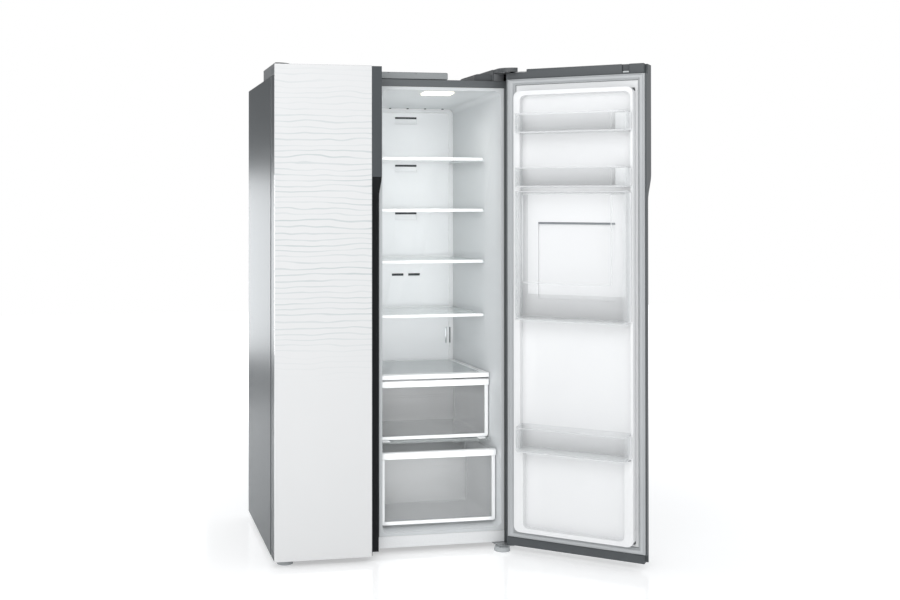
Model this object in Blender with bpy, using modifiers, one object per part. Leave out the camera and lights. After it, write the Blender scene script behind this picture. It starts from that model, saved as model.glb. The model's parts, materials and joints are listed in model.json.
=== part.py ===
"""Side by side refrigerator: freezer on the left, fridge compartment on the right.

Cabinet frame: X to the right, Y to the back, Z up. X = 0 is the cabinet's middle, Y = 0 the front of the
cabinet behind the doors, Z = 0 the floor. The fridge door stands open, the freezer door is closed.
"""
import math

import bmesh
import bpy
from mathutils import Matrix, Vector

# ---------------------------------------------------------------- driving dimensions (metres)
GAP = 0.0003                    # between faces that touch

CABINET_WIDTH = 0.912
CABINET_DEPTH = 0.610
CABINET_TOP = 1.748
CABINET_BOTTOM = 0.0216
SHEET = 0.0012

FREEZER_DOOR_WIDTH = 0.391
DOOR_GAP = 0.006                # between the two doors
DOOR_FRONT = 0.096              # glass front, ahead of the cabinet's front
DOOR_BACK = 0.018               # back of the door, ahead of the cabinet's front
DOOR_RISE = 0.0375              # door top above the cabinet's top
DOOR_BOTTOM = 0.0225
GLASS = 0.0054
TOP_CAP = 0.0365
BOTTOM_CAP = 0.030
OPEN_ANGLE = 141.0

HINGE_INSET = 0.012             # pin axis in from the cabinet's side
SWING_GAP = 0.0010151           # open door's side to the cabinet's front corner
PIN_RADIUS = 0.005
PIN_CLEARANCE = 0.0005
PIN_ENGAGED = 0.022
HINGE_PLATE = 0.004
HINGE_ARM = 0.044               # reach of the plate's arm towards the middle, from the pin
HINGE_PLATE_SPAN = (0.020, 0.068)   # plate in from the cabinet's side
HINGE_PLATE_DEPTH = (0.020, 0.150)
HINGE_NOSE = 0.014
NOSE_SPACE = 0.0016             # round nose of the hinge cover to the door's glass
RECESS_WIDTH = 0.0785           # low corner of the top cap, from the door's side
RECESS_DEPTH = 0.0115
COVER_RISE = 0.042              # hinge cover's top above the cabinet's top
COVER_WALL = 0.002
COVER_SIDE_GAP = 0.004          # hinge cover in from the cabinet's side
COVER_HIGH_END = 0.071          # inner end of its high part
COVER_LOW_END = 0.138           # inner end of its low part
COVER_LOW_DROP = 0.016
COVER_HIGH_DEPTH = (0.004, 0.205)
COVER_LOW_DEPTH = (0.012, 0.190)
BRACKET_SIDE_GAP = 0.003        # bottom hinge bracket in from the cabinet's side
BRACKET_PIN_END = 0.024
BRACKET_REAR = 0.060
BRACKET_FRONT = 0.012           # plate ahead of the foot's middle
BRACKET_FRONT_END = 0.060       # inner end of the plate at its front
BRACKET_REAR_END = 0.080
BRACKET_NOSE = 0.0095

EDGE_TRIM = 0.0366              # trim beside the glass on the free edge
TRIM_TUCK = 0.028               # part of the trim behind the glass
TRIM_DROP = 0.002
CHANNEL_DEPTH = 0.050           # finger channel, back from the glass front
CHANNEL_TOP = 1.298
SCOOP_RISE = 0.100
LIP = 0.005                     # trim wall behind the glass edge that fingers pull on
GRIP_TUCK = 0.020

SIDE_WALL = 0.038
TOP_WALL = 0.039
CENTRE_WALL = 0.044
REAR_WALL = 0.060
OPENING_BOTTOM = 0.0756
WALL_DRAFT = 0.049
CEILING_DRAFT = 0.056
FLOOR_DRAFT = 0.030
LINER = 0.0016
LINER_FLANGE = 0.012
OPENING_RADIUS = 0.023
MACHINE_ROOM_DEPTH = 0.205
MACHINE_ROOM_TOP = 0.245
STEP_WALL = 0.045

DUCT_PANEL = 0.006
DUCT_SPACE = 0.032
SLOT_WIDTH = 0.092
SLOT_HEIGHT = 0.030
SLOT_DEPTH = 0.004

COMPARTMENT_EXTRAS = (0.024, 0.010, 0.0, 0.0, 0.047)   # of each space over the even shelf pitch, from below
SHELF_FRONT = 0.152
SHELF_GLASS = 0.004
SHELF_TRIM = 0.012
SHELF_TRIM_DEPTH = 0.020
SHELF_CLEARANCE = 0.0115
SHELF_REAR = 0.012              # shelf back edge to the duct panel
LEDGE_HEIGHT = 0.009
LEDGE_REACH = 0.020

UPPER_DRAWER_BOTTOM = 0.3925
UPPER_DRAWER_TOP = 0.6155
UPPER_DRAWER_FRONT = 0.118
LOWER_DRAWER_BOTTOM = 0.0915
LOWER_DRAWER_TOP = 0.3608
LOWER_DRAWER_FRONT = 0.046
DRAWER_CLEARANCE = 0.0105
DRAWER_WALL = 0.0025
DRAWER_FRAME = 0.009
DRAWER_RIM = 0.025
DRAWER_STILE = 0.012
RIM_REACH = 0.010
COVER_FRAME_FRONT = 0.106
COVER_FRAME_BOTTOM = 0.6224
COVER_FRAME_TOP = 0.6393
MIDDLE_COVER_FRONT = 0.100
MIDDLE_COVER_BOTTOM = 0.382
MIDDLE_COVER_TOP = 0.389

GASKET_INSET = 0.008            # gasket in from the door's hinge side
GASKET_FREE_INSET = 0.0045
GASKET_TOP_INSET = 0.037
GASKET_BOTTOM_INSET = 0.035
GASKET_WIDTH = 0.022
GASKET_AIR = 0.001              # between the gasket and the closed cabinet
LINER_SHEET = 0.0022
RING_INSET = 0.0445             # raised ring of the door liner, from the hinge side
RING_FREE_INSET = 0.0365
RING_TOP_END = 0.085            # ring to door top
RING_BOTTOM_END = 0.066         # ring to door bottom
RING_HEIGHT = 0.030             # into the cabinet
POCKET_HINGE_SIDE = 0.024
POCKET_FREE_SIDE = 0.009
POCKET_END = 0.016
LOWER_POCKET_STEP = 0.022       # how much the pocket narrows below the lower bin

BIN_REACH = 0.105               # front wall of the bins, into the cabinet
BIN_WALL = 0.0025
BIN_CORNER = 0.025
BIN_SPACE = 0.0005
TOP_BIN_DROP = 0.172            # top bin's rim under the door's top
SMALL_BIN_HEIGHT = 0.071
BIN_PITCH = 0.195
BAR_BIN_GAP = 0.014
BAR_BIN_HEIGHT = 0.463
BAR_WINDOW_HEIGHT = 0.318
BAR_WINDOW_TOP = 0.010
BAR_WINDOW_HINGE_SIDE = 0.034
BAR_WINDOW_FREE_SIDE = 0.0476
BAR_PANEL_HALF = 0.144          # half width of the raised border behind the bottles
BAR_PANEL_DROP = 0.112
BAR_PANEL_HEIGHT = 0.280
BAR_PANEL_BORDER = 0.003
BAR_PANEL_DEPTH = 0.0095
BAR_PANEL_BACK = 0.012
END_BLOCK_WIDTH = 0.048
END_BLOCK_DEPTH = 0.026
LOWER_BIN_BOTTOM = 0.3945
LOWER_BIN_HEIGHT = 0.088
LOWER_BIN_REACH = 0.098

WIRING_COVER_HALF = 0.213
WIRING_COVER_DEPTH = 0.150
WIRING_COVER_HEIGHT = 0.027

FOOT_RADIUS = 0.030
FOOT_HEIGHT = 0.0155
FOOT_INSET = 0.047
FOOT_AHEAD = 0.035              # foot's middle ahead of the cabinet's front
SCREW_RADIUS = 0.005
SCREW_CLEARANCE = 0.001
SCREW_TOP = 0.0195
ROLLER_RADIUS = 0.018
ROLLER_WIDTH = 0.020
ROLLER_INSET = 0.070
ROLLER_FROM_BACK = 0.060

FAN_RADIUS = 0.062
FAN_BLADES = 5
COMPRESSOR_RADIUS = 0.078
COMPRESSOR_HEIGHT = 0.165
COIL_TUBE = 0.0024
COIL_RUNS = 6

# ---------------------------------------------------------------- derived places
HALF = CABINET_WIDTH / 2
DOOR_SPLIT = -HALF + FREEZER_DOOR_WIDTH + DOOR_GAP / 2
DOOR_TOP = CABINET_TOP + DOOR_RISE
SIDE_FLANGE = SIDE_WALL - LINER_FLANGE - GAP
TOP_FLANGE = TOP_WALL - LINER_FLANGE - GAP
FRIDGE_DOOR_WIDTH = CABINET_WIDTH - DOOR_GAP - FREEZER_DOOR_WIDTH
OPENING_TOP = CABINET_TOP - TOP_WALL
CAVITY_DEPTH = CABINET_DEPTH - REAR_WALL
FRIDGE_OPENING = (DOOR_SPLIT + CENTRE_WALL / 2, HALF - SIDE_WALL)
FREEZER_OPENING = (-HALF + SIDE_WALL, DOOR_SPLIT - CENTRE_WALL / 2)
PANEL_FRONT = CAVITY_DEPTH - DUCT_SPACE
STEP_FRONT = CABINET_DEPTH - MACHINE_ROOM_DEPTH - STEP_WALL
STEP_TOP = MACHINE_ROOM_TOP + STEP_WALL
HINGE_X = HALF - HINGE_INSET
OPEN_TURN = math.radians(OPEN_ANGLE)
HINGE_Y = -(HINGE_INSET * (1 - math.cos(OPEN_TURN)) + SWING_GAP) / math.sin(OPEN_TURN)
COVER_TOP = CABINET_TOP + COVER_RISE
GLASS_BACK = -DOOR_FRONT + GLASS
NOSE_RADIUS = HINGE_Y - GLASS_BACK - NOSE_SPACE
BIG = 1.0                       # how far a cutter runs past what it cuts
ABOVE = CABINET_TOP + BIG       # where a cutter that runs out of the top ends

MATERIALS = {
    "painted_steel": ((0.36, 0.38, 0.39), 0.35, 0.6),
    "dark_plastic": ((0.11, 0.12, 0.125), 0.45, 0.0),
    "white_plastic": ((0.86, 0.87, 0.87), 0.35, 0.0),
    "white_glass": ((0.90, 0.91, 0.91), 0.08, 0.0),
    "clear_plastic": ((0.80, 0.84, 0.85), 0.10, 0.0),
    "clear_glass": ((0.75, 0.84, 0.82), 0.05, 0.0),
    "gasket_rubber": ((0.62, 0.64, 0.65), 0.55, 0.0),
    "foam": ((0.83, 0.76, 0.55), 0.90, 0.0),
    "zinc_steel": ((0.55, 0.56, 0.57), 0.40, 0.9),
    "black_steel": ((0.03, 0.03, 0.03), 0.45, 0.3),
    "copper": ((0.60, 0.32, 0.20), 0.35, 0.9),
    "aluminium": ((0.75, 0.76, 0.77), 0.35, 0.9),
    "black_rubber": ((0.05, 0.05, 0.05), 0.70, 0.0),
}

# ---------------------------------------------------------------- scene, frames and materials
for old in list(bpy.data.objects):
    bpy.data.objects.remove(old, do_unlink=True)

parts = bpy.data.collections.new("side_by_side_refrigerator")
cutters = bpy.data.collections.new("cutters")
bpy.context.scene.collection.children.link(parts)
bpy.context.scene.collection.children.link(cutters)

materials = {}
for material_name, (colour, roughness, metallic) in MATERIALS.items():
    material = bpy.data.materials.new(material_name)
    material.use_nodes = True
    shader = material.node_tree.nodes["Principled BSDF"]
    shader.inputs["Base Color"].default_value = (*colour, 1.0)
    shader.inputs["Roughness"].default_value = roughness
    shader.inputs["Metallic"].default_value = metallic
    materials[material_name] = material


def add_frame(name, origin=(0.0, 0.0, 0.0), turn=0.0, parent=None):
    """An empty that parts hang from: its origin is a point of the cabinet frame with the doors closed."""
    frame = bpy.data.objects.new(name, None)
    parts.objects.link(frame)
    frame["origin"] = list(origin)
    if parent:
        frame.parent = parent
        frame.location = Vector(origin) - Vector(parent["origin"])
    frame.rotation_euler = (0.0, 0.0, turn)
    return frame


cabinet = add_frame("cabinet_frame")


# ---------------------------------------------------------------- modelling tools
def add_object(name, data, centre, frame, material, cutter=False):
    """Puts a mesh or curve at a point of the cabinet frame, under the frame that it moves with."""
    obj = bpy.data.objects.new(name, data)
    obj.parent = frame
    obj.location = Vector(centre) - Vector(frame["origin"])
    if cutter:
        cutters.objects.link(obj)
        obj.hide_render = True
        obj.display_type = "WIRE"
        return obj
    parts.objects.link(obj)
    data.materials.append(materials[material])
    return obj


def finish_mesh(name, mesh_builder):
    mesh = bpy.data.meshes.new(name)
    mesh_builder.to_mesh(mesh)
    mesh_builder.free()
    return mesh


def add_box(name, low, high, frame=cabinet, material="white_plastic", cutter=False):
    """A box between two corners."""
    size = Vector(high) - Vector(low)
    builder = bmesh.new()
    bmesh.ops.create_cube(builder, size=1.0)
    bmesh.ops.scale(builder, vec=size, verts=builder.verts)
    centre = (Vector(high) + Vector(low)) / 2
    return add_object(name, finish_mesh(name, builder), centre, frame, material, cutter)


def add_tapered(name, front, rear, frame=cabinet, material="white_plastic", cutter=False):
    """A box whose front and rear rectangles differ, each given as (y, x_low, x_high, z_low, z_high)."""
    builder = bmesh.new()
    bmesh.ops.create_cube(builder, size=1.0)
    for vertex in builder.verts:
        y, x_low, x_high, z_low, z_high = front if vertex.co.y < 0 else rear
        vertex.co = (x_low if vertex.co.x < 0 else x_high, y, z_low if vertex.co.z < 0 else z_high)
    return add_object(name, finish_mesh(name, builder), (0, 0, 0), frame, material, cutter)


def add_cylinder(name, centre, radius, length, frame=cabinet, material="white_plastic", axis="Z",
                 segments=24, cutter=False, top_radius=None):
    """A cylinder, or a cone with its own top radius, centred on a point with its axis along X, Y or Z."""
    builder = bmesh.new()
    bmesh.ops.create_cone(builder, cap_ends=True, segments=segments, radius1=radius,
                          radius2=radius if top_radius is None else top_radius, depth=length)
    turn = {"X": Matrix.Rotation(math.pi / 2, 3, "Y"), "Y": Matrix.Rotation(-math.pi / 2, 3, "X"),
            "Z": Matrix.Identity(3)}[axis]
    bmesh.ops.transform(builder, matrix=turn.to_4x4(), verts=builder.verts)
    return add_object(name, finish_mesh(name, builder), centre, frame, material, cutter)


def round_edges(obj, radius, axis, segments=3, side=0):
    """Bevels the edges that run along an axis, or only those on the +Z (side 1) or -Z (side -1) half."""
    mesh = obj.data
    index = "XYZ".index(axis)
    middle = sum(v.co.z for v in mesh.vertices) / len(mesh.vertices)
    weights = mesh.attributes.new("bevel_weight_edge", "FLOAT", "EDGE")
    for edge in mesh.edges:
        a, b = (mesh.vertices[i].co for i in edge.vertices)
        direction = (b - a).normalized()
        on_side = side == 0 or ((a.z + b.z) / 2 - middle) * side > 0
        weights.data[edge.index].value = 1.0 if abs(direction[index]) > 0.9 and on_side else 0.0
    bevel = obj.modifiers.new("rounded_edges", "BEVEL")
    bevel.limit_method = "WEIGHT"
    bevel.width = radius
    bevel.segments = segments
    return obj


def ease_edges(obj, radius, segments=1):
    """Bevels every edge that is sharp."""
    bevel = obj.modifiers.new("eased_edges", "BEVEL")
    bevel.limit_method = "ANGLE"
    bevel.width = radius
    bevel.segments = segments
    return obj


def combine(obj, other, operation):
    """Adds or cuts another object with an exact Boolean."""
    boolean = obj.modifiers.new(other.name, "BOOLEAN")
    boolean.operation = operation
    boolean.object = other
    boolean.solver = "EXACT"
    return obj


def cut(obj, other):
    return combine(obj, other, "DIFFERENCE")


def join(obj, other):
    return combine(obj, other, "UNION")


# ---------------------------------------------------------------- compartments
def compartment_left(opening, y):
    return opening[0] + WALL_DRAFT * y


def compartment_right(opening, y):
    return opening[1] - WALL_DRAFT * y


def ceiling(y):
    return OPENING_TOP - CEILING_DRAFT * y


def floor(y):
    return OPENING_BOTTOM + FLOOR_DRAFT * y


def add_compartment_form(name, opening, grown, front, rear):
    """The inside of a compartment, grown by a wall thickness, without the step over the machine room."""
    def rectangle(y):
        return (y, compartment_left(opening, y) - grown, compartment_right(opening, y) + grown,
                floor(y) - grown, ceiling(y) + grown)

    form = add_tapered(name, rectangle(front), rectangle(rear), cutter=True)
    round_edges(form, OPENING_RADIUS + grown, "Y", segments=4)
    step = add_box(name + "_step", (opening[0] - BIG, STEP_FRONT + grown, -BIG),
                   (opening[1] + BIG, BIG, STEP_TOP - grown), cutter=True)
    return cut(form, step)


def add_ledges(liner, opening, height):
    """Moulded ledges on both side walls under a shelf or a cover, fused to the liner."""
    for wall, inward, side in ((compartment_left, 1, "left"), (compartment_right, -1, "right")):
        corners = []
        for y in (SHELF_FRONT + SHELF_TRIM_DEPTH, PANEL_FRONT - SHELF_REAR):
            edges = sorted((wall(opening, y) - inward * LINER / 2, wall(opening, y) + inward * LEDGE_REACH))
            corners.append((y, edges[0], edges[1], height - LEDGE_HEIGHT, height))
        name = f"{liner.name}_ledge_{side}_{round(height * 1000)}"
        join(liner, add_tapered(name, corners[0], corners[1], cutter=True))


def build_liner(name, opening, ledge_heights):
    """Vacuum formed white liner with a front flange, open at the front."""
    liner = add_box(name, (opening[0] - LINER_FLANGE, 0, OPENING_BOTTOM - LINER_FLANGE),
                    (opening[1] + LINER_FLANGE, LINER, OPENING_TOP + LINER_FLANGE))
    join(liner, add_compartment_form(name + "_outside", opening, LINER, LINER / 2, CAVITY_DEPTH))
    cut(liner, add_compartment_form(name + "_inside", opening, 0.0, -GAP, CAVITY_DEPTH - LINER))
    for height in ledge_heights:
        add_ledges(liner, opening, height)
    return liner


def shelf_heights():
    """Top faces of the glass shelves, from the lowest, evenly pitched but for the extras."""
    even = (OPENING_TOP - COVER_FRAME_TOP - sum(COMPARTMENT_EXTRAS)) / len(COMPARTMENT_EXTRAS)
    heights = []
    height = COVER_FRAME_TOP
    for extra in COMPARTMENT_EXTRAS[:-1]:
        height += even + extra
        heights.append(height)
    return heights


# ---------------------------------------------------------------- cabinet
def build_outer_case():
    """Folded steel sheet over both sides and the roof, with a flange round the front."""
    case = add_box("outer_case", (-HALF, 0, CABINET_BOTTOM), (HALF, CABINET_DEPTH, CABINET_TOP),
                   material="painted_steel")
    cut(case, add_box("case_inside", (-HALF + SHEET, SHEET, -BIG), (HALF - SHEET, BIG, CABINET_TOP - SHEET),
                      cutter=True))
    cut(case, add_box("case_front_opening", (-HALF + SIDE_FLANGE, -BIG, -BIG),
                      (HALF - SIDE_FLANGE, BIG / 4, CABINET_TOP - TOP_FLANGE), cutter=True))


def build_insulation():
    """Foam between the case and the liners, over the machine room."""
    foam = add_box("case_insulation", (-HALF + SHEET + GAP, SHEET + GAP, CABINET_BOTTOM + SHEET + GAP),
                   (HALF - SHEET - GAP, CABINET_DEPTH - SHEET - 2 * GAP, CABINET_TOP - SHEET - GAP),
                   material="foam")
    for name, opening in (("fridge", FRIDGE_OPENING), ("freezer", FREEZER_OPENING)):
        flange = LINER_FLANGE + GAP
        cut(foam, add_box(name + "_flange_seat", (opening[0] - flange, -BIG, OPENING_BOTTOM - flange),
                          (opening[1] + flange, LINER + GAP, OPENING_TOP + flange), cutter=True))
        cut(foam, add_compartment_form(name + "_seat", opening, LINER + GAP, 0.0, CAVITY_DEPTH + GAP))
    cut(foam, add_box("machine_room", (-BIG, CABINET_DEPTH - MACHINE_ROOM_DEPTH, -BIG),
                      (BIG, BIG, MACHINE_ROOM_TOP), cutter=True))
    cut(foam, add_box("base_plate_seat", (-BIG, -BIG, -BIG),
                      (BIG, BIG, CABINET_BOTTOM + 2 * SHEET + GAP), cutter=True))
    cut(foam, add_box("base_cover_seat", (-BIG, -BIG, -BIG),
                      (BIG, LINER + 2 * GAP, OPENING_BOTTOM - LINER_FLANGE), cutter=True))


def build_rear_panel():
    """Ribbed steel back above the machine room."""
    low = (-HALF + SHEET + GAP, CABINET_DEPTH - SHEET, MACHINE_ROOM_TOP + GAP)
    high = (HALF - SHEET - GAP, CABINET_DEPTH, CABINET_TOP - SHEET - GAP)
    panel = add_box("rear_panel", low, high, material="zinc_steel")
    rib = 0.012
    for number in (-1, 0, 1):
        middle = number * CABINET_WIDTH / 4
        join(panel, add_box(f"rear_rib_{number + 2}", (middle - rib, CABINET_DEPTH - SHEET / 2, low[2] + 0.1),
                            (middle + rib, CABINET_DEPTH + 0.003, high[2] - 0.1), cutter=True))


def build_base_plate():
    """Steel pan under the cabinet, with cheeks that carry the rear rollers."""
    plate = add_box("base_plate", (-HALF + SHEET + GAP, LINER + GAP, CABINET_BOTTOM),
                    (HALF - SHEET - GAP, CABINET_DEPTH - SHEET - GAP, CABINET_BOTTOM + 2 * SHEET),
                    material="zinc_steel")
    roller_y = CABINET_DEPTH - ROLLER_FROM_BACK
    cheek = 0.003
    room = ROLLER_WIDTH / 2 + 0.0015
    for side in (-1, 1):
        x = side * (HALF - ROLLER_INSET)
        side_name = "right" if side > 0 else "left"
        cut(plate, add_box(f"roller_window_{side_name}", (x - room, roller_y - ROLLER_RADIUS - 0.004, 0),
                           (x + room, roller_y + ROLLER_RADIUS + 0.004, BIG), cutter=True))
        for face in (-1, 1):
            inner = x + face * room
            edges = sorted((inner, inner + face * cheek))
            join(plate, add_box(f"roller_cheek_{side_name}_{face + 1}",
                                (edges[0], roller_y - 0.014, ROLLER_RADIUS - 0.008),
                                (edges[1], roller_y + 0.014, CABINET_BOTTOM + SHEET), cutter=True))
        join(plate, add_cylinder(f"roller_axle_{side_name}", (x, roller_y, ROLLER_RADIUS), 0.003,
                                 2 * (room + cheek / 2), axis="X", segments=12, cutter=True))


def build_rollers():
    """Rear rollers, each turning on an axle of the base plate."""
    for side, side_name in ((-1, "left"), (1, "right")):
        centre = (side * (HALF - ROLLER_INSET), CABINET_DEPTH - ROLLER_FROM_BACK, ROLLER_RADIUS)
        frame = add_frame(f"rear_roller_{side_name}_axis", centre, parent=cabinet)
        roller = add_cylinder(f"rear_roller_{side_name}", centre, ROLLER_RADIUS, ROLLER_WIDTH, frame,
                              "black_rubber", axis="X", segments=32)
        cut(roller, add_cylinder(f"roller_bore_{side_name}", centre, 0.0034, 0.1, frame, axis="X",
                                 segments=16, cutter=True))


def build_feet():
    """Front levelling feet: a round pad on a threaded stud through the bottom hinge bracket."""
    for side, side_name in ((-1, "left"), (1, "right")):
        x = side * (HALF - FOOT_INSET)
        frame = add_frame(f"levelling_foot_{side_name}_axis", (x, -FOOT_AHEAD, 0), parent=cabinet)
        foot = add_cylinder(f"levelling_foot_{side_name}", (x, -FOOT_AHEAD, FOOT_HEIGHT / 2), FOOT_RADIUS,
                            FOOT_HEIGHT, frame, "dark_plastic", segments=32, top_radius=FOOT_RADIUS * 0.92)
        stud_low = FOOT_HEIGHT / 2
        join(foot, add_cylinder(f"foot_stud_{side_name}", (x, -FOOT_AHEAD, (stud_low + SCREW_TOP) / 2),
                                SCREW_RADIUS, SCREW_TOP - stud_low, frame, segments=12, cutter=True))


def build_centre_strip():
    """Steel strip over the wall between the two openings."""
    add_box("centre_strip", (DOOR_SPLIT - CENTRE_WALL / 2 + LINER_FLANGE + GAP, 0,
                             OPENING_BOTTOM - LINER_FLANGE + GAP),
            (DOOR_SPLIT + CENTRE_WALL / 2 - LINER_FLANGE - GAP, SHEET, CABINET_TOP - TOP_FLANGE - GAP),
            material="painted_steel")


def build_base_cover():
    """White cover under the compartments, between the side flanges."""
    add_box("front_base_cover", (-HALF + SIDE_FLANGE + GAP, 0, CABINET_BOTTOM),
            (HALF - SIDE_FLANGE - GAP, LINER, OPENING_BOTTOM - LINER_FLANGE - GAP))


def build_wiring_cover():
    """Low cover over the wiring on the roof, with a notch in its front edge."""
    low = (-WIRING_COVER_HALF, 0.004, CABINET_TOP + GAP)
    high = (WIRING_COVER_HALF, low[1] + WIRING_COVER_DEPTH, CABINET_TOP + GAP + WIRING_COVER_HEIGHT)
    cover = ease_edges(add_box("wiring_cover", low, high, material="dark_plastic"), 0.003)
    inside_top = high[2] - COVER_WALL - 0.001
    cut(cover, add_box("wiring_cover_inside", (low[0] + COVER_WALL, low[1] + COVER_WALL, 0),
                       (high[0] - COVER_WALL, high[1] - COVER_WALL, inside_top), cutter=True))
    for number, middle in enumerate((-0.015, 0.09, -0.12)):
        notch = add_cylinder(f"wiring_cover_notch_{number}", (middle, low[1], high[2]), 0.006, 0.008,
                             axis="Y", segments=3, cutter=True)
        cut(cover, notch)


def build_top_hinges():
    """Cranked steel hinge plates on the roof, each with a pin into the door, under plastic covers."""
    arm_bottom = DOOR_TOP - RECESS_DEPTH + 0.002
    for side, side_name in ((-1, "left"), (1, "right")):
        pin = (side * HINGE_X, HINGE_Y)

        def across(inner, outer, side=side):
            return sorted((side * (HALF - inner), side * (HALF - outer)))

        plate_x = across(*HINGE_PLATE_SPAN)
        front, rear = HINGE_PLATE_DEPTH
        plate = add_box(f"top_hinge_{side_name}", (plate_x[0], front, CABINET_TOP + GAP),
                        (plate_x[1], rear, CABINET_TOP + GAP + HINGE_PLATE), material="zinc_steel")
        riser = add_box(f"hinge_riser_{side_name}", (plate_x[0], front, CABINET_TOP + 2 * GAP),
                        (plate_x[1], front + 0.006, arm_bottom + HINGE_PLATE), cutter=True)
        join(plate, riser)
        arm_x = sorted((pin[0] - side * HINGE_ARM, pin[0] + side * (HINGE_INSET - 2 * COVER_SIDE_GAP)))
        arm = add_box(f"hinge_arm_{side_name}", (arm_x[0], pin[1], arm_bottom),
                      (arm_x[1], front + 0.004, arm_bottom + HINGE_PLATE), cutter=True)
        join(plate, arm)
        nose_x = pin[0] - side * 0.010
        nose = add_cylinder(f"hinge_nose_{side_name}", (nose_x, pin[1], arm_bottom + HINGE_PLATE / 2),
                            HINGE_NOSE, HINGE_PLATE, segments=24, cutter=True)
        join(plate, nose)
        pin_low = DOOR_TOP - RECESS_DEPTH - PIN_ENGAGED
        pin_high = arm_bottom + HINGE_PLATE / 2
        join(plate, add_cylinder(f"hinge_pin_{side_name}", (*pin, (pin_low + pin_high) / 2), PIN_RADIUS,
                                 pin_high - pin_low, segments=20, cutter=True))

        build_hinge_cover(side, side_name, arm_bottom)


def build_hinge_cover(side, side_name, arm_bottom):
    """Plastic cover: a low rear part, a high part at the side and a round nose over the door's corner."""
    def across(inner, outer):
        return sorted((side * (HALF - inner), side * (HALF - outer)))

    nose_bottom = arm_bottom - 0.0012
    low_top = COVER_TOP - COVER_LOW_DROP
    high_x = across(COVER_SIDE_GAP, COVER_HIGH_END)
    low_x = across(COVER_HIGH_END - COVER_WALL, COVER_LOW_END)
    neck_x = across(COVER_SIDE_GAP, HINGE_INSET + NOSE_RADIUS)
    high_y, low_y = COVER_HIGH_DEPTH, COVER_LOW_DEPTH
    cover = add_box(f"top_hinge_cover_{side_name}", (high_x[0], high_y[0], CABINET_TOP + GAP),
                    (high_x[1], high_y[1], COVER_TOP), material="dark_plastic")
    low = add_box(f"cover_low_{side_name}", (low_x[0], low_y[0], CABINET_TOP + GAP),
                  (low_x[1], low_y[1], low_top), cutter=True)
    round_edges(low, 0.012, "Y", segments=3, side=1)
    join(cover, low)
    join(cover, add_box(f"cover_neck_{side_name}", (neck_x[0], HINGE_Y, nose_bottom),
                        (neck_x[1], high_y[0] + 0.006, COVER_TOP), cutter=True))
    join(cover, add_nose(f"cover_nose_{side_name}", side, NOSE_RADIUS, COVER_SIDE_GAP, nose_bottom,
                         COVER_TOP))
    inside_top = COVER_TOP - COVER_WALL
    cut(cover, add_box(f"cover_hollow_{side_name}", (high_x[0] + COVER_WALL, high_y[0] + COVER_WALL, 0),
                       (high_x[1] - COVER_WALL, high_y[1] - COVER_WALL, inside_top), cutter=True))
    cut(cover, add_box(f"cover_low_hollow_{side_name}", (low_x[0] + COVER_WALL, low_y[0] + COVER_WALL, 0),
                       (low_x[1] - COVER_WALL, low_y[1] - COVER_WALL, low_top - COVER_WALL - 0.001),
                       cutter=True))
    cut(cover, add_box(f"cover_neck_hollow_{side_name}", (neck_x[0] + COVER_WALL, HINGE_Y, 0),
                       (neck_x[1] - COVER_WALL, high_y[0] + 0.016, inside_top), cutter=True))
    cut(cover, add_nose(f"cover_nose_hollow_{side_name}", side, NOSE_RADIUS - COVER_WALL,
                        COVER_SIDE_GAP + COVER_WALL, nose_bottom - 0.05, inside_top))


def add_nose(name, side, radius, outer, z_low, z_high):
    """A disc about the hinge pin, cut flat where it would reach out past the cabinet's side."""
    nose = add_cylinder(name, (side * HINGE_X, HINGE_Y, (z_low + z_high) / 2), radius, z_high - z_low,
                        segments=40, cutter=True)
    x = sorted((side * (HALF - outer), side * (HALF + BIG)))
    return cut(nose, add_box(name + "_side", (x[0], -BIG, 0), (x[1], BIG, ABOVE), cutter=True))


def build_bottom_hinges():
    """Steel brackets under the front corners, each with a pin up into the door and a hole for a foot."""
    top = DOOR_BOTTOM - 0.002
    bottom = top - HINGE_PLATE
    front = -FOOT_AHEAD - BRACKET_FRONT
    for side, side_name in ((-1, "left"), (1, "right")):
        pin = (side * HINGE_X, HINGE_Y)

        def across(inner, side=side):
            return sorted((side * (HALF - BRACKET_SIDE_GAP), side * (HALF - inner)))

        lug_x = across(BRACKET_PIN_END)
        bracket = add_tapered(f"bottom_hinge_{side_name}", (front, *across(BRACKET_FRONT_END), bottom, top),
                              (BRACKET_REAR, *across(BRACKET_REAR_END), bottom, top), material="zinc_steel")
        join(bracket, add_cylinder(f"bracket_nose_{side_name}", (*pin, top - HINGE_PLATE / 2), BRACKET_NOSE,
                                   HINGE_PLATE, segments=24, cutter=True))
        join(bracket, add_cylinder(f"bottom_pin_{side_name}", (*pin, top + PIN_ENGAGED / 2), PIN_RADIUS,
                                   PIN_ENGAGED + HINGE_PLATE, segments=20, cutter=True))
        join(bracket, add_box(f"bracket_lug_{side_name}", (lug_x[0], BRACKET_REAR / 2, bottom),
                              (lug_x[1], BRACKET_REAR, CABINET_BOTTOM - GAP), cutter=True))
        cut(bracket, add_cylinder(f"foot_hole_{side_name}", (side * (HALF - FOOT_INSET), -FOOT_AHEAD, top),
                                  SCREW_RADIUS + SCREW_CLEARANCE, 0.1, segments=16, cutter=True))


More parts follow.
